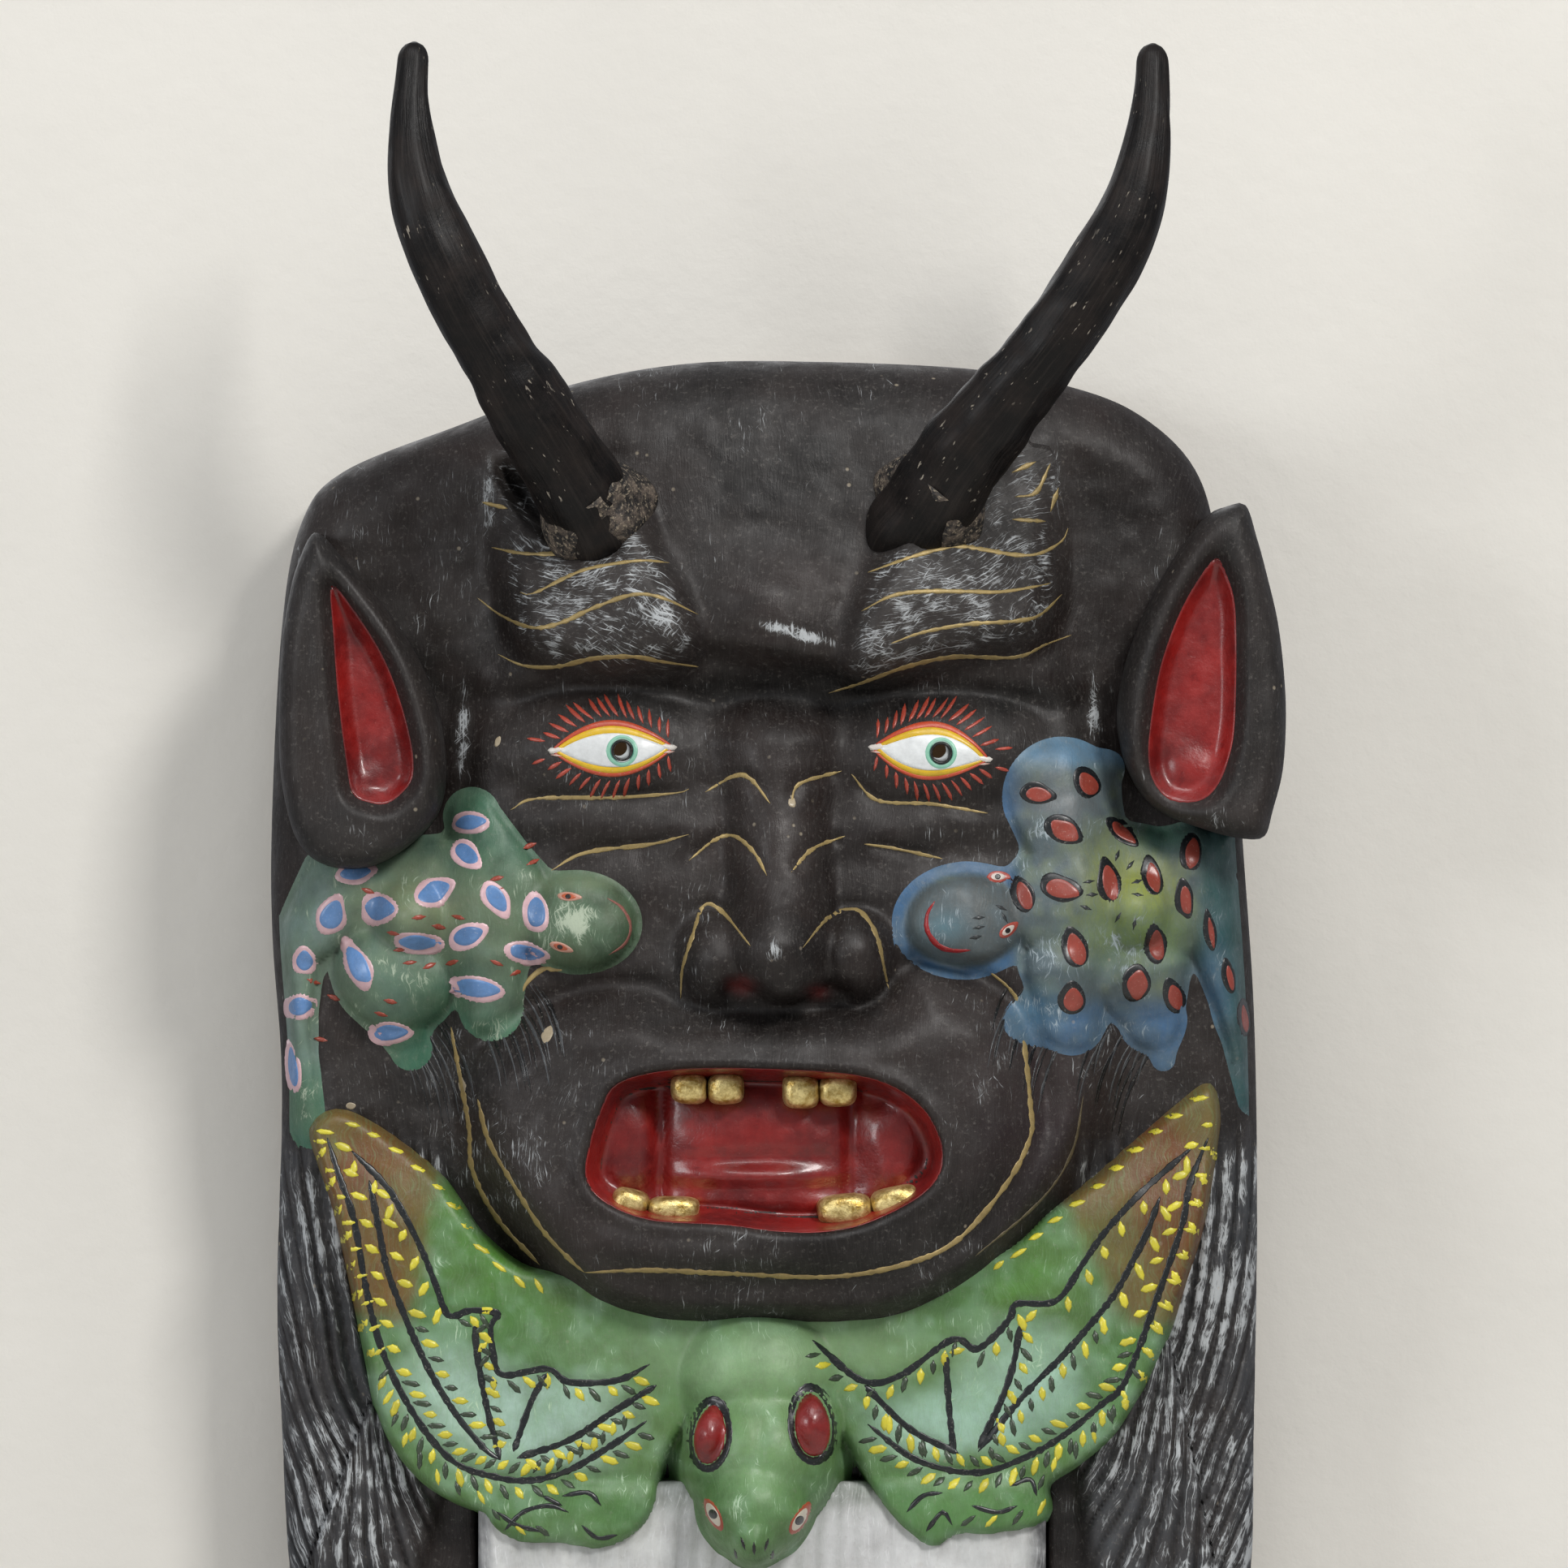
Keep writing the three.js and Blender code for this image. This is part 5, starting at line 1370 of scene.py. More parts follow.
SPOTS_RIGHT = [
    (80, -122, 4.6, 3, -8), (96, -119, 3.6, 4.4, 35), (88, -133, 5.6, 3.8, -28),
    (106.5, -133.5, 5.4, 2.4, -42), (128, -140.5, 3, 5.4, -4), (87, -151, 5.8, 3.8, -14),
    (76, -153.5, 3, 5, 22), (102.5, -149.5, 3.2, 6, 10), (116, -148, 2.8, 5.2, 12), (126, -155, 2.4, 5.2, 5),
    (92, -170, 3.6, 5.6, 18), (117, -169, 3.2, 5.2, 4), (91, -185.5, 4, 4.2, 0), (111, -181, 4.2, 5, -8),
    (123, -185, 3, 4.6, 18), (134, -165, 1.4, 5.4, 8), (140, -179, 1.6, 4.6, 12), (145, -192, 1.8, 4.8, 8)]


TOAD_DOWELS = {"left": [(-78, -160), (-112, -160)], "right": [(76, -160), (110, -158)]}
DOWEL_END = 82


def over_dowels(height_at, spots):
    """Thickens a toad where the dowels that hold it end inside it."""
    def height(x, z):
        over = [DOWEL_END + 2.2 - FRONT(x, z) - 0.09 * np.hypot(x - cx, z - cz) ** 2 for cx, cz in spots]
        return higher(height_at(x, z), np.maximum(*over), 3)
    return height


def make_toads():
    left = over_dowels(toad_left, TOAD_DOWELS["left"])
    right = over_dowels(toad_right, TOAD_DOWELS["right"])
    left_top = Relief(lambda x, z: FRONT.depth + np.maximum(0, left(x, z)))
    right_top = Relief(lambda x, z: FRONT.depth + np.maximum(0, right(x, z)))
    body = relief_piece("toad_left_carving", left, FRONT, (-162, -36), (-236, -116), GREEN_TOAD,
                        toad_left_paint)
    finish_piece(body, "toad_green", "toad_left")
    body = relief_piece("toad_right_carving", right, FRONT, (32, 160), (-226, -102), BLUE_TOAD,
                        toad_right_paint)
    finish_piece(body, "toad_blue", "toad_right")

    paint = Paintwork(left_top, 400)
    rng = np.random.default_rng(401)
    for x, z, rx, rz, tilt in SPOTS_LEFT:
        paint.daub(leaf(x, z, rx, rz, tilt, 0.8, grow=0.7, random=rng), "d2adb2", lift=0.25)
        paint.daub(leaf(x + 0.2, z + 0.2, rx, rz, tilt, 0.7, grow=-0.55, random=rng), "5f86b8", lift=0.45)
    dashes = [(-86, -148), (-86, -151.5), (-86, -155), (-76, -138), (-75, -143), (-104, -163), (-98, -160),
              (-110, -160), (-118, -165), (-116, -170), (-113, -174), (-107, -175), (-126, -152),
              (-100, -174), (-86, -174), (-80, -177), (-137, -185), (-119, -186), (-122, -190), (-141, -198),
              (-143, -180)]
    for x, z in dashes:
        turn = rng.uniform(-0.5, 0.5)
        dx, dz = 2.2 * math.cos(turn), 2.2 * math.sin(turn)
        paint.stroke([(x - dx, z - dz), (x + dx, z + dz)], 1.7, "96402f", lift=0.3, taper=0.3)
    for x, z, turn in ((-64, -153.5, -4), (-66.5, -169, -18)):
        paint.daub(leaf(x, z, 3.6, 1.5, turn, 0.9), "b98a78", lift=0.26)
        paint.daub(leaf(x, z, 2.5, 1.1, turn, 0.6), "a8502f", lift=0.36)
        paint.daub(leaf(x, z, 1.1, 0.9, turn, 0), "17110f", lift=0.46)
    paint.stroke([(-52, -154), (-47.5, -157), (-44.8, -162.5), (-46.5, -168), (-51.5, -171.5)], 1.1,
                 "8e5a50", lift=0.3)
    paint.finish("toad_left_spots", ARTIST, "toad_green")

    paint = Paintwork(right_top, 410)
    for x, z, rx, rz, tilt in SPOTS_RIGHT:
        paint.daub(leaf(x - 0.3, z + 0.2, rx, rz, tilt, 0.8, grow=0.8, random=rng), "14171a", lift=0.25)
        paint.daub(leaf(x + 0.2, z - 0.2, rx, rz, tilt, 0.7, grow=-0.4, random=rng), "8e3d31", lift=0.45)
    for x, z, turn in ((105, -141, 70), (109, -144, 50), (111, -149, 18), (111, -153, -8), (96, -149, 10),
                       (97, -153, 4), (95, -157, -20), (62, -160, 5), (62, -163, 10), (61, -166, 12),
                       (69, -157, -25), (70, -160, -60), (105, -160, 60), (110, -162, 80)):
        turn = math.radians(turn)
        dx, dz = 1.9 * math.cos(turn), 1.9 * math.sin(turn)
        paint.stroke([(x - dx, z - dz), (x + dx, z + dz)], 1.6, "2b2f31", lift=0.3, taper=0.3)
    for x, z, turn in ((68, -147.5, 0), (71, -164, 38)):
        paint.daub(leaf(x, z, 3.4, 1.9, turn, 0.7), "a04438", lift=0.26)
        paint.daub(leaf(x, z, 2.5, 1.3, turn, 0.5), "c9bdb4", lift=0.36)
        paint.daub(leaf(x, z, 1.1, 1.0, turn, 0), "17110f", lift=0.46)
    paint.stroke([(48.5, -155), (46.2, -159), (46.2, -164), (49.5, -168.6), (54, -170.2), (59.5, -170)], 1.9,
                 "8f1a1d", lift=0.32, taper=0.3)
    paint.finish("toad_right_spots", ARTIST, "toad_blue")


make_toads()


# ---------------------------------------------------------------- bat
WING_LEFT = curve(
    [(-143.5, -226), (-141, -235), (-137, -246), (-134, -257), (-131, -271), (-128.5, -283), (-125.5, -298),
     (-123, -311), (-118, -323), (-109, -334), (-98, -340.5), (-90, -343.5), (-87, -348), (-79, -352.5),
     (-66, -353), (-54, -354.5), (-44, -350), (-38, -342), (-35, -328), (-28, -316), (-12, -300), (-10, -284),
     (-40, -274), (-64, -270), (-79, -268), (-92, -258), (-98, -249), (-104, -241), (-114, -232),
     (-124, -225), (-133, -220.5), (-139, -221)], closed=True, step=2.5)
WING_RIGHT = curve(
    [(133.5, -212.5), (136, -221), (135, -231), (133, -243), (130, -257), (125, -273), (121, -286),
     (116, -298), (111, -308), (103, -320), (93, -328.5), (83.5, -335), (84, -343), (80, -347.5), (66, -350),
     (56, -350), (48, -354), (38, -347), (29.5, -336), (22, -322), (14, -312), (2, -300), (0, -284),
     (28, -274), (52, -266), (71, -262), (85, -251), (99, -241), (111, -230),
     (125, -218)], closed=True, step=2.5)
WING_DEPTH = 79


BAT_LINES = [
    [(-138.5, -228), (-135, -239), (-131, -250), (-129, -259), (-127, -271), (-124, -285), (-120, -297),
     (-114, -309), (-106, -321), (-98, -328.5), (-88, -332), (-77, -333.5), (-64.5, -330.5), (-50, -322),
     (-40, -315)],
    [(-125.5, -241), (-123, -253), (-120, -268), (-116, -279), (-111, -291), (-105, -303), (-98, -314),
     (-90, -323.5), (-85, -327)],
    [(-131, -232), (-121, -242), (-115, -251), (-109, -263), (-105, -273), (-101, -282.5), (-94, -281),
     (-86, -282), (-88, -286), (-87, -296), (-84, -301), (-70.5, -299), (-64, -303), (-49, -302.5),
     (-39, -297.5)],
    [(-93, -285), (-92, -296), (-89, -312), (-85, -327)],
    [(-70.5, -300), (-75.5, -309), (-81, -324.5)],
    [(-80, -326.5), (-64, -321), (-50, -312), (-37, -304)],
    [(133, -228), (130, -235), (127, -243), (125, -254), (120, -269), (115, -283), (111, -294), (106, -305),
     (100, -310), (89, -319), (76, -326.5), (61, -331), (43, -327), (28, -316)],
    [(118, -246), (114, -257), (110, -265), (104, -276), (96, -286), (88, -295), (79, -304), (71, -313),
     (62, -324.5)],
    [(128, -231), (121, -237), (111, -246), (101, -257), (94, -267), (86, -278), (74, -279), (72, -283),
     (67, -289), (61, -293), (54, -290), (38, -301), (26, -302.5), (11, -290)],
    [(75, -285), (73, -297), (69, -309), (62, -323.5)],
    [(52, -294), (53, -310), (54.5, -325)],
    [(27, -304), (41, -317.5), (56, -325)],
]
FOOT_LINES = [
    [(-86, -343), (-80, -347), (-72, -349)], [(-84, -349), (-78, -343), (-70, -341), (-64, -343)],
    [(-66, -338), (-58, -337), (-54, -341)], [(-60, -347), (-55, -351), (-49, -350)],
    [(-72, -338), (-66, -341)],
    [(46, -349), (51, -343), (54, -347)], [(72, -335), (78, -333), (80, -338)],
    [(60, -341), (68, -343), (74, -341)],
    [(40, -343), (45, -338), (51, -337)],
]


def bat_depth(x, z):
    """Depth of the bat's own surface; outside its outline it falls away fast."""
    wings = []
    for outline in (WING_LEFT, WING_RIGHT):
        d = inside(x, z, outline)
        t = 1 - np.clip(d / 3.2, 0, 1)
        rounded = WING_DEPTH - 4.0 * (1 - np.sqrt(1 - t * t))
        wings.append(np.where(d > 0, rounded, WING_DEPTH - 4.0 + d * 9))
    depth = np.maximum(*wings)
    tips = 1.0 * ramp(-255, -225, z)
    depth = depth - 6 * tips
    # folds of skin between the painted fingers, and the feet
    depth = depth + 1.6 * np.sin((x + 0.5 * z) / 9) * swell(x, z, -82, -308, 34, 18, 0, 2)
    depth = depth + 1.6 * np.sin((x - 0.5 * z) / 9) * swell(x, z, 64, -306, 34, 18, 0, 2)
    depth = depth + 2.0 * swell(x, z, -57, -343, 22, 9, 0, 2) + 2.0 * swell(x, z, 60, -340, 22, 9, 0, 2)
    depth = depth - 1.6 * swell(x, z, -60, -333, 24, 2.4) - 1.6 * swell(x, z, 52, -332, 24, 2.4)
    for line in BAT_LINES:
        depth = depth - 1.1 * crease(x, z, line, 1.5)

    def body(cx, cz, rx, rz, top, tilt=0.0):
        q = oval(x, z, cx, cz, rx, rz, tilt)
        return np.where(q < 1, top - 26 + 26 * np.maximum(0, 1 - q) ** 0.5, top - 26 - (np.sqrt(q) - 1) * 60)

    parts = [body(-6, -303, 27, 26, 93), body(-5, -327, 24, 24, 102), body(-6.5, -341, 17, 17, 108),
             body(-7, -350, 9.5, 10, 109)]
    head = blend_all(parts, 4)
    ears = [body(-20.5, -319, 8, 12, 101, -8), body(11, -316, 9, 12.5, 102, 6)]
    head = higher(head, np.maximum(*ears), 2)
    hollow = 3.4 * swell(x, z, -20.5, -319, 5, 9, -8, 2) + 3.4 * swell(x, z, 11, -316, 5.5, 9.5, 6, 2)
    sides = 2.2 * swell(x, z, -19, -341, 4.5, 3.5) + 2.2 * swell(x, z, 6.5, -343, 4.5, 3.5)
    head = head - hollow + sides
    return higher(depth, head, 3) + 0.3 * lumps(x, z, 8, 81) - 1.2 * swell(x, z, -5, -322, 1.8, 12)


def bat_paint(x, z):
    rough = 0.3 * lumps(x, z, 8, 82) + 0.25 * lumps(x, z, 3, 83)
    aqua_left = swell(x, z, -94, -309, 27, 17, -20, 2) + swell(x, z, -62, -316, 22, 15, 0, 2)
    aqua_right = swell(x, z, 74, -303, 22, 20, 20, 2) + swell(x, z, 48, -316, 22, 11, 0, 2)
    tip_left = ramp(-287, -278, z + 8 * rough) * ramp(100, 109, 0.17 * (z + 235) - x + 6 * rough)
    tip_right = ramp(-290, -280, z + 6 * rough) * ramp(86, 95, x + 0.5 * (z + 250) + 6 * rough)
    tint = blend_colours(
        "476f38", ("a6c4b6", (aqua_left + rough * 0.6) * 0.95), ("9fc2b2", (aqua_right + rough * 0.6) * 0.95),
        ("6b5326", tip_left), ("6a552c", tip_right),
        ("6a3f14", 1.5 * swell(x, z, -126, -252, 16, 26, -12, 2)),
        ("683f1b", 1.5 * swell(x, z, 122, -250, 11, 34, 14, 2)),
        ("93b287", swell(x, z, -2, -294, 52, 12) * 0.75),
        ("86ab78", swell(x, z, -5, -322, 30, 20) * 0.5),
        ("39622f", swell(x, z, -22, -334, 6, 14) * 0.8), ("39622f", swell(x, z, 12, -334, 6, 14) * 0.8),
        ("4c7d2b", 0.8 * swell(x, z, -90, -262, 14, 20, 25)),
        ("4c7d2b", 0.8 * swell(x, z, 78, -270, 20, 9, 30)),
        ("47743b", swell(x, z, -55, -344, 26, 8) * 0.8), ("578a4c", swell(x, z, 55, -342, 24, 8) * 0.8))
    drybrush_and_highlight = 0.65 + rough + 0.4 * swell(x, z, -6, -340, 12, 12) + 0.35 * swell(x, z, -44, -335, 8, 5)
    drybrush_and_highlight = (drybrush_and_highlight + 0.3 * swell(x, z, 30, -330, 8, 8)) * (1 - 0.8 * np.maximum(tip_left, tip_right))
    return tint, np.clip(drybrush_and_highlight, 0, 2), np.stack([x + 4 * rough, z, x * 0], 1) * MM


def bat_dabs(paint, rng):
    """Short yellow and dark dabs beside the painted fingers and inside the wings' edge."""
    middle = {"left": (-80, -300), "right": (66, -298)}
    rows = [(BAT_LINES[0], 3.8, 8.0), (BAT_LINES[0], -3.6, 9.0), (BAT_LINES[1], 3.4, 10.0),
            (BAT_LINES[6], 3.8, 8.0), (BAT_LINES[6], -3.6, 9.0), (BAT_LINES[7], 3.4, 9.5),
            (BAT_LINES[2], -3.4, 9.0), (BAT_LINES[8], 3.4, 9.5), (BAT_LINES[5], -3.0, 8.0),
            (BAT_LINES[11], -3.0, 8.5),
            (BAT_LINES[3], 3.0, 9.0), (BAT_LINES[9], 3.0, 9.0)]
    for points, offset, gap in rows:
        line = curve(points, step=1.0)
        run = np.concatenate([[0], np.cumsum(np.hypot(*np.diff(line, axis=0).T))])
        for number, s in enumerate(np.arange(4, run[-1] - 3, gap / 2)):
            i = min(int(np.searchsorted(run, s)), len(line) - 2)
            way = line[i + 1] - line[i - 1] if i else line[1] - line[0]
            way /= np.linalg.norm(way)
            side = np.array([-way[1], way[0]])
            spot = line[i] + side * (offset + rng.uniform(-0.5, 0.5))
            aim = way * math.cos(0.9) + side * math.sin(0.9) * np.sign(offset)
            aqua = spot[1] < -282 and abs(spot[0] + 4) < 112
            if number % 2 and not aqua:
                continue
            dark = bool(number % 2)
            half = rng.uniform(2.1, 3.0)
            paint.stroke([spot - aim * half, spot + aim * half], 2.1 if dark else 2.7,
                         "34412f" if dark else "cfc438", lift=0.35, taper=0.25)
    for outline, name in ((WING_LEFT, "left"), (WING_RIGHT, "right")):
        centre = np.array(middle[name])
        for number, p in enumerate(outline[::3]):
            inwards = centre - p
            inwards /= np.linalg.norm(inwards)
            spot = p + inwards * 4.2
            outer_edge = (abs(spot[0] + 4) > 62) and FRONT(spot[:1], spot[1:])[0] < 76
            if not outer_edge:
                continue
            turn = np.array([-inwards[1], inwards[0]]) * (1 if name == "left" else -1)
            aim = inwards * 0.7 + turn * 0.7
            half = rng.uniform(2.1, 3.0)
            dark = number % 2 == 1 and spot[1] < -290
            paint.stroke([spot - aim * half, spot + aim * half], 1.9, "34412f" if dark else "cfc438",
                         lift=0.35, taper=0.25)


def make_bat():
    ground = Relief(lambda x, z: np.where(z > BEARD_TOP, FRONT.depth, np.maximum(FRONT.depth, 60)))
    surface = Relief(bat_depth)
    top = Relief(lambda x, z: np.maximum(surface.depth, FRONT.depth))
    piece = relief_piece("bat_carving", lambda x, z: bat_depth(x, z) - ground(x, z), ground, (-150, 142),
                         (-366, -208),
                         BAT_PAINT, bat_paint, step=1.15, sunk=9.0, floor=10.5)
    finish_piece(piece, "bat_green", "bat")
    rng = np.random.default_rng(500)
    paint = Paintwork(top, 501)
    for line in BAT_LINES:
        paint.stroke(line, 2.4, "14181a", lift=0.35, taper=0.06, ragged=0.22)
    for line in FOOT_LINES:
        paint.stroke(line, 1.7, "14181a", lift=0.35, taper=0.2)
    for x, z, rx, rz, tilt in ((-20.5, -319, 6.2, 10.2, -8), (11, -316, 7, 11, 6)):
        outer = leaf(x, z, rx + 1.0, rz + 1.4, tilt, 0.3)
        inner = leaf(x, z, rx - 1.6, rz - 1.8, tilt, 0.3)
        paint.band(outer, inner, "15181a", lift=0.3, loops=4)
    for x, z, turn in ((-19.5, -342.5, -62), (7, -344.5, 58)):
        paint.daub(leaf(x, z, 5.4, 2.4, turn, 0.5), "a8492f", lift=0.26)
        paint.daub(leaf(x, z, 4.4, 1.9, turn, 0.4), "c8bfae", lift=0.36)
        paint.daub(leaf(x, z, 1.9, 1.6, turn, 0), "141212", lift=0.46)
    for x, z, dx in ((-11, -351, 1.4), (-7, -352.5, 0.2), (-2.5, -351.5, -1.2), (-13, -355, 1.0),
                     (-1, -355.5, -0.8)):
        paint.stroke([(x, z + 2), (x + dx, z - 2.2)], 1.3, "141212", lift=0.28, taper=0.3)
    paint.finish("bat_lines", BLACK_LINE, "bat_green")
    dabs = Paintwork(top, 502)
    bat_dabs(dabs, rng)
    dabs.finish("bat_dabs", ARTIST, "bat_green")
    for name, x, z, rx, rz, tilt in (("left", -20.5, -319, 4.8, 8.6, -8), ("right", 11, -316, 5.4, 9.2, 6)):
        rings = [laid(ring, top, 0.4) for ring in toward(leaf(x, z, rx, rz, tilt, 0.3, 40), (x, z),
                                                        np.linspace(0, 0.95, 10))]
        rings[0][:, 1] -= 0.4
        finish_piece(face_outwards(shell(f"bat_ear_{name}_red", rings, 1.0, RED)), "mouth_red")


make_bat()


# ---------------------------------------------------------------- ears
EARS = {
    "left": {
        "outline": [(-142.5, -41.5), (-135, -48), (-129, -55), (-120, -66), (-113, -76), (-107.5, -87),
                    (-104, -98), (-102.3, -108), (-102, -118), (-104, -127), (-108, -133), (-116, -140),
                    (-125, -144.5), (-135, -145), (-143, -142), (-148, -136), (-151, -127), (-153, -115),
                    (-153.5, -102), (-153.3, -88), (-152.5, -75), (-150.5, -62), (-148, -52)],
        "red": [(-137, -57.5), (-130, -65), (-122, -77.5), (-117, -89), (-113, -102.5), (-111.5, -112),
                (-112.5, -119), (-119, -125), (-125, -125), (-130.5, -122), (-132.5, -112), (-135, -92),
                (-136.5, -72)],
        "centre": (-126, -106),
        "lobe": (-128, -132),
    },
    "right": {
        "outline": [(144.5, -33), (138.5, -33.5), (133, -36), (127, -43), (121, -52), (116, -61), (111, -72),
                    (107, -84), (105, -97), (106, -107), (109, -116), (114, -124), (121, -129), (129, -132),
                    (137, -134.5), (145, -136), (150.5, -135), (153, -127), (156, -115), (157, -100),
                    (156.5, -86), (154.5, -69), (151, -54), (148, -43)],
        "red": [(135, -49), (128, -58), (122.5, -69), (118, -82), (115.5, -95), (114, -108), (115, -117),
                (119, -123), (124, -125), (131, -124), (136, -119), (139.5, -110), (141, -100), (141.5, -80),
                (141, -63), (138.5, -54)],
        "centre": (129, -106),
        "lobe": (134, -128),
    },
}


def make_ear(side, ear):
    outline = curve(ear["outline"], closed=True, step=1.6)
    red = curve(ear["red"], closed=True, step=2)

    def ear_depth(x, z):
        edge = np.maximum(inside(x, z, outline), 0)
        t = 1 - np.clip(edge / 6.5, 0, 1)
        depth = 87 - 14 * (1 - np.sqrt(1 - t * t))
        bowl = inside(x, z, red)
        depth = depth - 9.5 * ramp(-4.5, 5.5, bowl) + 0.8 * np.exp(-((bowl + 4.5) / 2.5) ** 2)
        lx, lz = ear["lobe"]
        depth = depth + 1.5 * swell(x, z, lx, lz, 11, 7) + 0.35 * lumps(x, z, 9, 91)
        cx, cz = ear["centre"]
        depth = depth + 1.6 * swell(x, z, cx, cz - 10, 7, 6) * ramp(0, 3, bowl)
        return depth + (1.0 * lumps(x, z, 6, 92) * ramp(-100, -112, z)) * ramp(0, 3, bowl)

    shares = np.concatenate([[0, 0.02, 0.05, 0.09, 0.14], np.linspace(0.19, 0.97, 26)])
    rings = np.array([laid(ring, ear_depth) for ring in toward(outline, ear["centre"], shares)])
    rings[0][:, 1] -= 1.5
    # the back follows the block, and is flat where the ear stands out beyond it
    on_block = inside(rings[..., 0], rings[..., 2], OUTLINE) > 3
    back = np.where(on_block, np.minimum(66, FRONT(rings[..., 0], rings[..., 2]) - 0.8), 60.0)
    body = shell(f"ear_{side}_carving", rings, rings[..., 1] - back, BLACK)
    co = vertices_mm(body)
    x, z = co[:, 0], co[:, 2]
    edge = inside(x, z, outline)
    lx, lz = ear["lobe"]
    drybrush_and_highlight = (0.25 + 0.55 * swell(x, z, lx, lz - 2, 10, 7)
           + 0.5 * np.exp(-((edge - 4) / 3) ** 2) * (0.5 + 0.5 * lumps(x, z, 14, 93)))
    set_attribute(body.data, "tint", np.broadcast_to(srgb("201d1c"), (len(x), 3)))
    set_attribute(body.data, "drybrush_and_highlight", np.clip(drybrush_and_highlight, 0, 1))
    set_attribute(body.data, "flow", np.stack([x, z, x * 0], 1) * MM)
    finish_piece(face_outwards(body), "black_paint", f"ear_{side}")
    rings = [laid(ring, ear_depth, 0.35) for ring in toward(red, ear["centre"], np.linspace(0, 0.96, 20))]
    rings[0][:, 1] -= 0.5
    finish_piece(face_outwards(shell(f"ear_{side}_hollow", rings, 1.0, RED)), "mouth_red")


for side, ear in EARS.items():
    make_ear(side, ear)


# ---------------------------------------------------------------- horns
HORNS = {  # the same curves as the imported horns: x, z, depth
    "left": [(-43, -61, 50), (-50, -49, 66), (-56, -37, 82), (-67, -18, 97), (-80, 3, 109), (-96, 31, 117),
             (-107.5, 58, 119), (-111.5, 82, 116), (-110.5, 107.5, 110)],
    "right": [(30, -61, 50), (37, -49, 66), (44, -37, 82), (57, -18, 97), (74, 3, 109), (92, 27, 117),
              (107, 53, 119), (113.5, 80, 116), (115, 107, 110)],
}


def space_curve(points, count):
    """A smooth line through points in space, resampled evenly."""
    p = np.array(points, float)
    p = np.vstack([2 * p[0] - p[1], p, 2 * p[-1] - p[-2]])
    fine = []
    for a, b, c, d in zip(p[:-3], p[1:-2], p[2:-1], p[3:]):
        t = np.linspace(0, 1, 24, endpoint=False)[:, None]
        fine.append(0.5 * (2 * b + (c - a) * t + (2 * a - 5 * b + 4 * c - d) * t**2
                           + (3 * b - a - 3 * c + d) * t**3))
    fine = np.vstack(fine + [p[-2][None]])
    run = np.concatenate([[0], np.cumsum(np.linalg.norm(np.diff(fine, axis=0), axis=1))])
    at = np.linspace(0, run[-1], count)
    return np.stack([np.interp(at, run, fine[:, k]) for k in range(3)], 1), at


def sweep(path, radius, sides, wobble):
    """Points and faces of a closed bar of changing, uneven section along a path (x, z, depth)."""
    xyz = path[:, [0, 2, 1]]
    tangent = np.gradient(xyz, axis=0)
    tangent /= np.linalg.norm(tangent, axis=1)[:, None]
    normal = np.cross(tangent, np.array([0.0, 1.0, 0.0]))
    normal /= np.linalg.norm(normal, axis=1)[:, None]
    other = np.cross(tangent, normal)
    a = around(sides)
    r = radius[:, None] + wobble(a)
    points = (xyz[:, None] + normal[:, None] * (np.cos(a)[None] * r)[..., None]
              + other[:, None] * (np.sin(a)[None] * r)[..., None])
    n, each = len(path), np.arange(sides)
    return points, loft(n, sides) + [each[::-1].tolist(), ((n - 1) * sides + each).tolist()]


def make_horn(side, control, seed):
    count, sides = 190, 44
    path, at = space_curve(control, count)
    share = at / at[-1]
    first = int(np.searchsorted(share, 0.1))
    path, share, at = path[first:], share[first:], at[first:]
    radius = 15.2 + (10.2 - 15.2) * np.minimum(share / 0.7, 1) - 5.8 * ramp(0.68, 1.0, share)
    radius = radius * np.sqrt(np.clip(1 - (np.maximum(0, share - 0.972) / 0.0285) ** 2, 0.02, 1))
    rings_of_growth = 0.30 * np.sin(at / 2.1 + 2 * np.sin(at / 17)) * ramp(0.75, 0.2, share)
    waist = 0.8 * np.sin(at / 11 + seed)

    def wobble(a):
        knots = 0.9 * lumps(np.cos(a)[None] * 9 + 0 * at[:, None],
                            at[:, None] / 1.6 + np.sin(a)[None] * 9, 7, seed)
        flat = 0.7 * np.cos(2 * a + 0.6)[None]
        facet = 0.35 * np.cos(7 * a[None] + at[:, None] / 30)
        scale = (radius / 15)[:, None]
        return (knots + flat + facet) * scale + (rings_of_growth + waist * 0.5)[:, None] * scale

    points, faces = sweep(path, radius, sides, wobble)
    a = around(sides)
    flow = np.stack([np.broadcast_to(a * 12, (len(path), sides)),
                     np.broadcast_to(at[:, None], (len(path), sides)),
                     np.zeros((len(path), sides))], -1).reshape(-1, 3) * MM
    horn = make_mesh(f"horn_{side}_sheath", points.reshape(-1, 3), faces, HORN, extra={"flow": flow})
    finish_piece(face_outwards(horn), "horn", f"horn_{side}")
    return path, radius


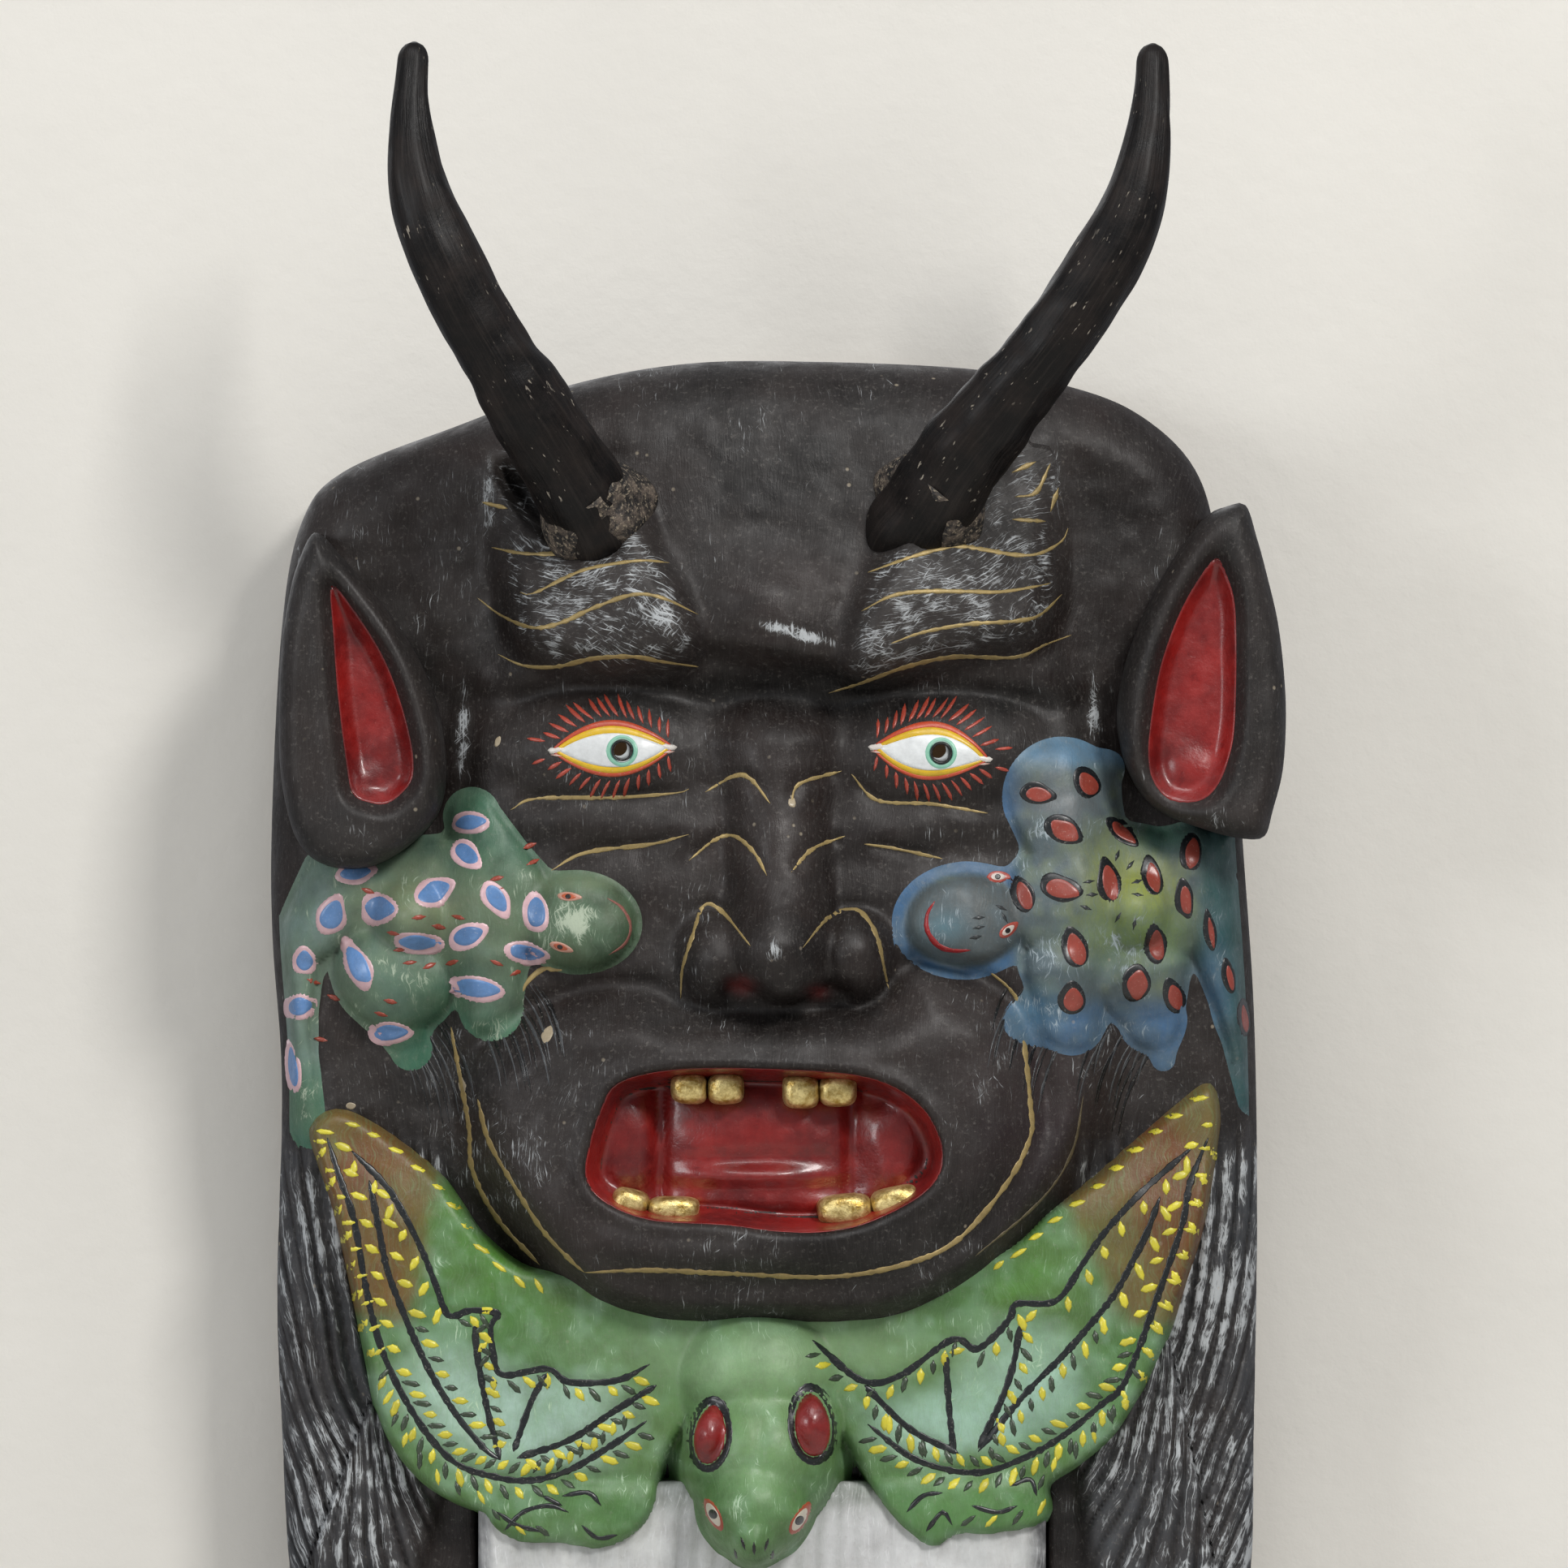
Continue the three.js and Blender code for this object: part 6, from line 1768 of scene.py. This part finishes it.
def make_collar(side, path, radius, seed):
    """Old filler pressed round the foot of a horn: a lumpy skirt from the horn down to the block."""
    sides, steps = 72, 9
    surface_gap = path[:, 2] - FRONT(path[:, 0], path[:, 1])
    i = int(np.argmax(surface_gap > 2))
    xyz = path[:, [0, 2, 1]]
    tangent = unit(xyz[i + 6] - xyz[i])
    normal = unit(np.cross(tangent, np.array([0.0, 1.0, 0.0])))
    other = np.cross(tangent, normal)
    a = around(sides)
    rng = np.random.default_rng(seed)
    uneven = sum(rng.uniform(-1, 1) * np.cos(k * a + rng.uniform(0, 6)) / k for k in range(1, 7))
    way = normal[None] * np.cos(a)[:, None] + other[None] * np.sin(a)[:, None]
    top = xyz[i + 9] + way * (radius[i + 9] - 0.4) + tangent * (2.2 * uneven)[:, None]
    low = xyz[i - 3] + way * (radius[i] + 5.5 + 2.4 * uneven)[:, None]
    low[:, 1] = FRONT(low[:, 0], low[:, 2]) - 0.5
    rings = []
    for s in np.linspace(0, 1, steps):
        line = top * (1 - s) + low * s
        line = line + way * (0.6 * math.sin(math.pi * s))
        bump = (1.7 * lumps(line[:, 0], line[:, 2], 5, seed)
                + 0.6 * lumps(line[:, 0], line[:, 2], 2.4, seed + 9)) * math.sin(math.pi * s)
        rings.append(line + np.array([0, 1.0, 0]) * bump[:, None])
    inner_low = low - way * 9 - np.array([0, 6.0, 0])
    inner_top = top - way * 3 - tangent * 2
    points = np.vstack(rings + [inner_low, inner_top])
    faces = loft(steps + 2, sides, closed=True)
    collar = face_outwards(make_mesh(f"horn_collar_{side}", points, faces, PUTTY))
    finish_piece(collar, "putty", f"horn_filler_{side}")


for number, (side, control) in enumerate(HORNS.items()):
    shape = make_horn(side, control, 610 + number)
    make_collar(side, *shape, seed=620 + number)


# ---------------------------------------------------------------- beard
def make_beard():
    """A block of white hair: combed strands down the front, rounded sides and a curved lower end."""
    u = spread(BEARD_RIGHT - BEARD_LEFT, 1.3)
    v = spread(92, 1.6)
    low_points = np.array([(-92, -372), (-86, -402), (-62, -414), (-40, -421), (-5, -427), (32, -421),
                           (54, -413), (77, -401), (83, -372)], float)
    bottom = curve(low_points[1:-1], step=1)
    low_z = np.interp(BEARD_LEFT + 5.5 + u * (BEARD_RIGHT - BEARD_LEFT - 11), bottom[:, 0], bottom[:, 1])
    uu, vv = np.meshgrid(u, v)
    narrow = 6 * ramp(0.45, 1.0, vv)
    x = BEARD_LEFT + narrow + uu * (BEARD_RIGHT - BEARD_LEFT - 2 * narrow)
    z = BEARD_TOP + (low_z[None] - BEARD_TOP) * vv
    width = BEARD_RIGHT - BEARD_LEFT
    edge = np.minimum(np.minimum(uu, 1 - uu) * width, (1 - vv) * 80 + 0.01)
    top_edge = np.minimum(edge, vv * 80 + 0.01)
    t = 1 - np.clip(top_edge / 4.5, 0, 1)
    wave = 1.8 * np.sin(z / 23 + x / 30) + 2.5 * lumps(x, z, 30, 101)
    strand = (np.abs(np.sin(math.pi * (x + wave) / 5.6)) ** 0.6
              + 0.5 * np.abs(np.sin(math.pi * (x + wave) / 2.3)) ** 0.7)
    depth = BEARD_FRONT - 1.6 + 1.0 * strand - 4.5 * (1 - np.sqrt(1 - t * t)) + 0.8 * lumps(x, z, 24, 102)
    rows, cols = x.shape
    points = [np.stack([x, depth, z], -1).reshape(-1, 3)]
    faces = grid_faces(rows, cols).tolist()
    rim = rim_of(rows, cols)
    loop, total, edge_points = rim, rows * cols, points[0][rim]
    for share in (0.75, 0.5, 0.25, 0.0):
        ring = edge_points.copy()
        ring[:, 1] = BEARD_BACK + (edge_points[:, 1] - BEARD_BACK) * share
        points.append(ring)
        new = total + np.arange(len(rim))
        faces += ring_faces(loop, new).tolist()
        loop, total = new, total + len(rim)
    points.append(np.array([[-4.5, BEARD_BACK, -378.0]]))
    faces += fan(loop, total)
    points = np.vstack(points)
    px, pz = points[:, 0], points[:, 2]
    tint = blend_colours("d3d4d1", ("adafad", 0.4 + 0.6 * lumps(px, pz, 9, 103)),
                         ("cfd0d1", swell(px, pz, 20, -352, 40, 16)),
                         ("4f5f48", ramp(-345, -337, pz) * 0.8), ("2c2d2f", ramp(76, 81, px)),
                         ("2c2d2f", ramp(-86, -90, px)),
                         ("2a2a2c", ramp(72.5, 66, points[:, 1])))
    drybrush_and_highlight = np.clip(0.75 + 0.25 * lumps(px, pz, 12, 104), 0, 1) * ramp(66, 73, points[:, 1])
    flow = np.stack([px + 1.8 * np.sin(pz / 23 + px / 30) + 2.5 * lumps(px, pz, 30, 101), pz, px * 0], 1) * MM
    beard = make_mesh("beard_carving", points, faces, BEARD_PAINT, tint=tint,
                      extra={"drybrush_and_highlight": drybrush_and_highlight, "flow": flow})
    finish_piece(face_outwards(beard), "beard_white", "beard")


make_beard()


# ---------------------------------------------------------------- hanger and the other kept CAD pieces
def cad_material(material, *nodes):
    for name in nodes:
        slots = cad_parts[name].material_slots
        if not slots:
            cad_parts[name].data.materials.append(material)
        for slot in slots:
            slot.material = material


def make_ring():
    """The D-ring of the hanger as smooth bent wire."""
    lo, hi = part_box("hanger_ring")
    pivot = -0.030 / MM
    wire = 1.3
    depth = -(lo.y + hi.y) / 2 / MM
    half = (hi.x - lo.x) / 2 / MM - wire
    drop = pivot - lo.z / MM - wire
    outline = [(-8, 0), (-4, 0), (0, 0), (4, 0), (8, 0), (half, -3), (half, -9), (7.6, -17), (0, -drop),
               (-7.6, -17),
               (-half, -9), (-half, -3)]
    line = curve(outline, closed=True, step=0.9)
    n, sides = len(line), 14
    way = np.roll(line, -1, 0) - np.roll(line, 1, 0)
    way /= np.linalg.norm(way, axis=1)[:, None]
    side = np.stack([way[:, 1], -way[:, 0]], 1)
    a = around(sides)
    x = line[:, :1] + side[:, :1] * np.cos(a)[None] * wire
    z = pivot + line[:, 1:] + side[:, 1:] * np.cos(a)[None] * wire
    d = depth + np.sin(a)[None] * wire + 0 * x
    points = np.stack([x, d, z], -1).reshape(-1, 3)
    ring = face_outwards(make_mesh("hanger_ring_wire", points, loft(n, sides, closed=True), STEEL))
    finish_piece(ring, "steel", "hanger_ring", body="ring")


make_ring()
KEPT_STEEL = ("hanger_strap", "hanger_screw", "horn_nail")
cad_material(STEEL, *[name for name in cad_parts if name.startswith(KEPT_STEEL)])
cad_material(WOOD, *[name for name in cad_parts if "dowel" in name or name.startswith("horn_core")])


# ---------------------------------------------------------------- wall, floor, light and camera
def stage_material(name, colour):
    """Plain plaster, seen from in front only, so that the back of the mask can be looked at."""
    material, tree, shader, here = start(name)
    grain = noise(tree, here, 9, 4, 0.6)
    broad = noise(tree, here, 260, 3)
    tone = mix(tree, remap(tree, broad, 0.35, 0.7), rgba(colour), rgba("d2cfc8"))
    roughness = remap(tree, grain, 0.3, 0.7, 0.85, 0.95)
    connect(tree, shader, tone, roughness, grain, 0.35)
    out = tree.nodes["Material Output"]
    clear = node(tree, "ShaderNodeBsdfTransparent")
    behind = node(tree, "ShaderNodeNewGeometry").outputs["Backfacing"]
    choose = node(tree, "ShaderNodeMixShader", {0: behind, 1: shader.outputs[0], 2: clear.outputs[0]})
    tree.links.new(choose.outputs[0], out.inputs["Surface"])
    return material


def stage_panel(name, corners, colour):
    """A flat panel from four corners in metres, subdivided once each way."""
    a, b, c, d = (np.array(p, float) for p in corners)
    grid = [a * (1 - u) * (1 - v) + b * u * (1 - v) + c * u * v + d * (1 - u) * v
            for v in (0, 0.5, 1) for u in (0, 0.5, 1)]
    mesh = bpy.data.meshes.new(name)
    mesh.from_pydata([p.tolist() for p in grid], [], grid_faces(3, 3).tolist())
    mesh.materials.append(stage_material(name, colour))
    panel = bpy.data.objects.new(name, mesh)
    bpy.context.scene.collection.objects.link(panel)
    return panel


def area_light(name, place, aim, size, watts, colour=(1, 1, 1)):
    data = bpy.data.lights.new(name, "AREA")
    data.energy, data.size, data.color = watts, size, colour
    lamp = bpy.data.objects.new(name, data)
    lamp.location = place
    lamp.rotation_euler = (Vector(aim) - Vector(place)).to_track_quat("-Z", "Y").to_euler()
    bpy.context.scene.collection.objects.link(lamp)


FACE_CENTRE = (0.00225, -0.075, -0.119)
VIEW_WIDTH = 0.483
VIEW_DISTANCE = 4.0


def set_stage():
    wall = stage_panel("wall", [(-1.6, 0.001, -0.95), (1.6, 0.001, -0.95), (1.6, 0.001, 1.3),
                                (-1.6, 0.001, 1.3)],
                       "d9d6cf")
    # light from behind passes the wall, so that the back of the mask can be seen too
    wall.visible_shadow = wall.visible_diffuse = wall.visible_glossy = False
    stage_panel("floor", [(-1.6, -2.2, -0.95), (1.6, -2.2, -0.95), (1.6, 0.001, -0.95),
                          (-1.6, 0.001, -0.95)], "dcd9d3")
    area_light("key_right", (1.05, -1.9, 1.35), (0, -0.05, -0.12), 0.5, 40, (1.0, 0.985, 0.96))
    area_light("fill_left", (-1.9, -1.7, 0.35), (0, -0.05, -0.12), 0.7, 17, (0.96, 0.98, 1.0))
    area_light("top_soft", (0.0, -1.6, 2.4), (0, -0.05, -0.12), 1.2, 30)
    area_light("back_soft", (-0.6, 2.2, 0.8), (0, 0.0, -0.15), 1.6, 11)
    world = bpy.data.worlds.new("studio")
    world.use_nodes = True
    world.node_tree.nodes["Background"].inputs["Color"].default_value = (0.93, 0.95, 1.0, 1)
    world.node_tree.nodes["Background"].inputs["Strength"].default_value = 0.3
    bpy.context.scene.world = world
    bpy.context.scene.view_settings.view_transform = "Standard"

    data = bpy.data.cameras.new("camera")
    data.sensor_width = 36
    data.lens = 36 * VIEW_DISTANCE / VIEW_WIDTH
    camera = bpy.data.objects.new("camera", data)
    camera.location = Vector(FACE_CENTRE) - Vector((0, VIEW_DISTANCE, 0))
    camera.rotation_euler = (math.pi / 2, 0, 0)
    bpy.context.scene.collection.objects.link(camera)
    bpy.context.scene.camera = camera


set_stage()
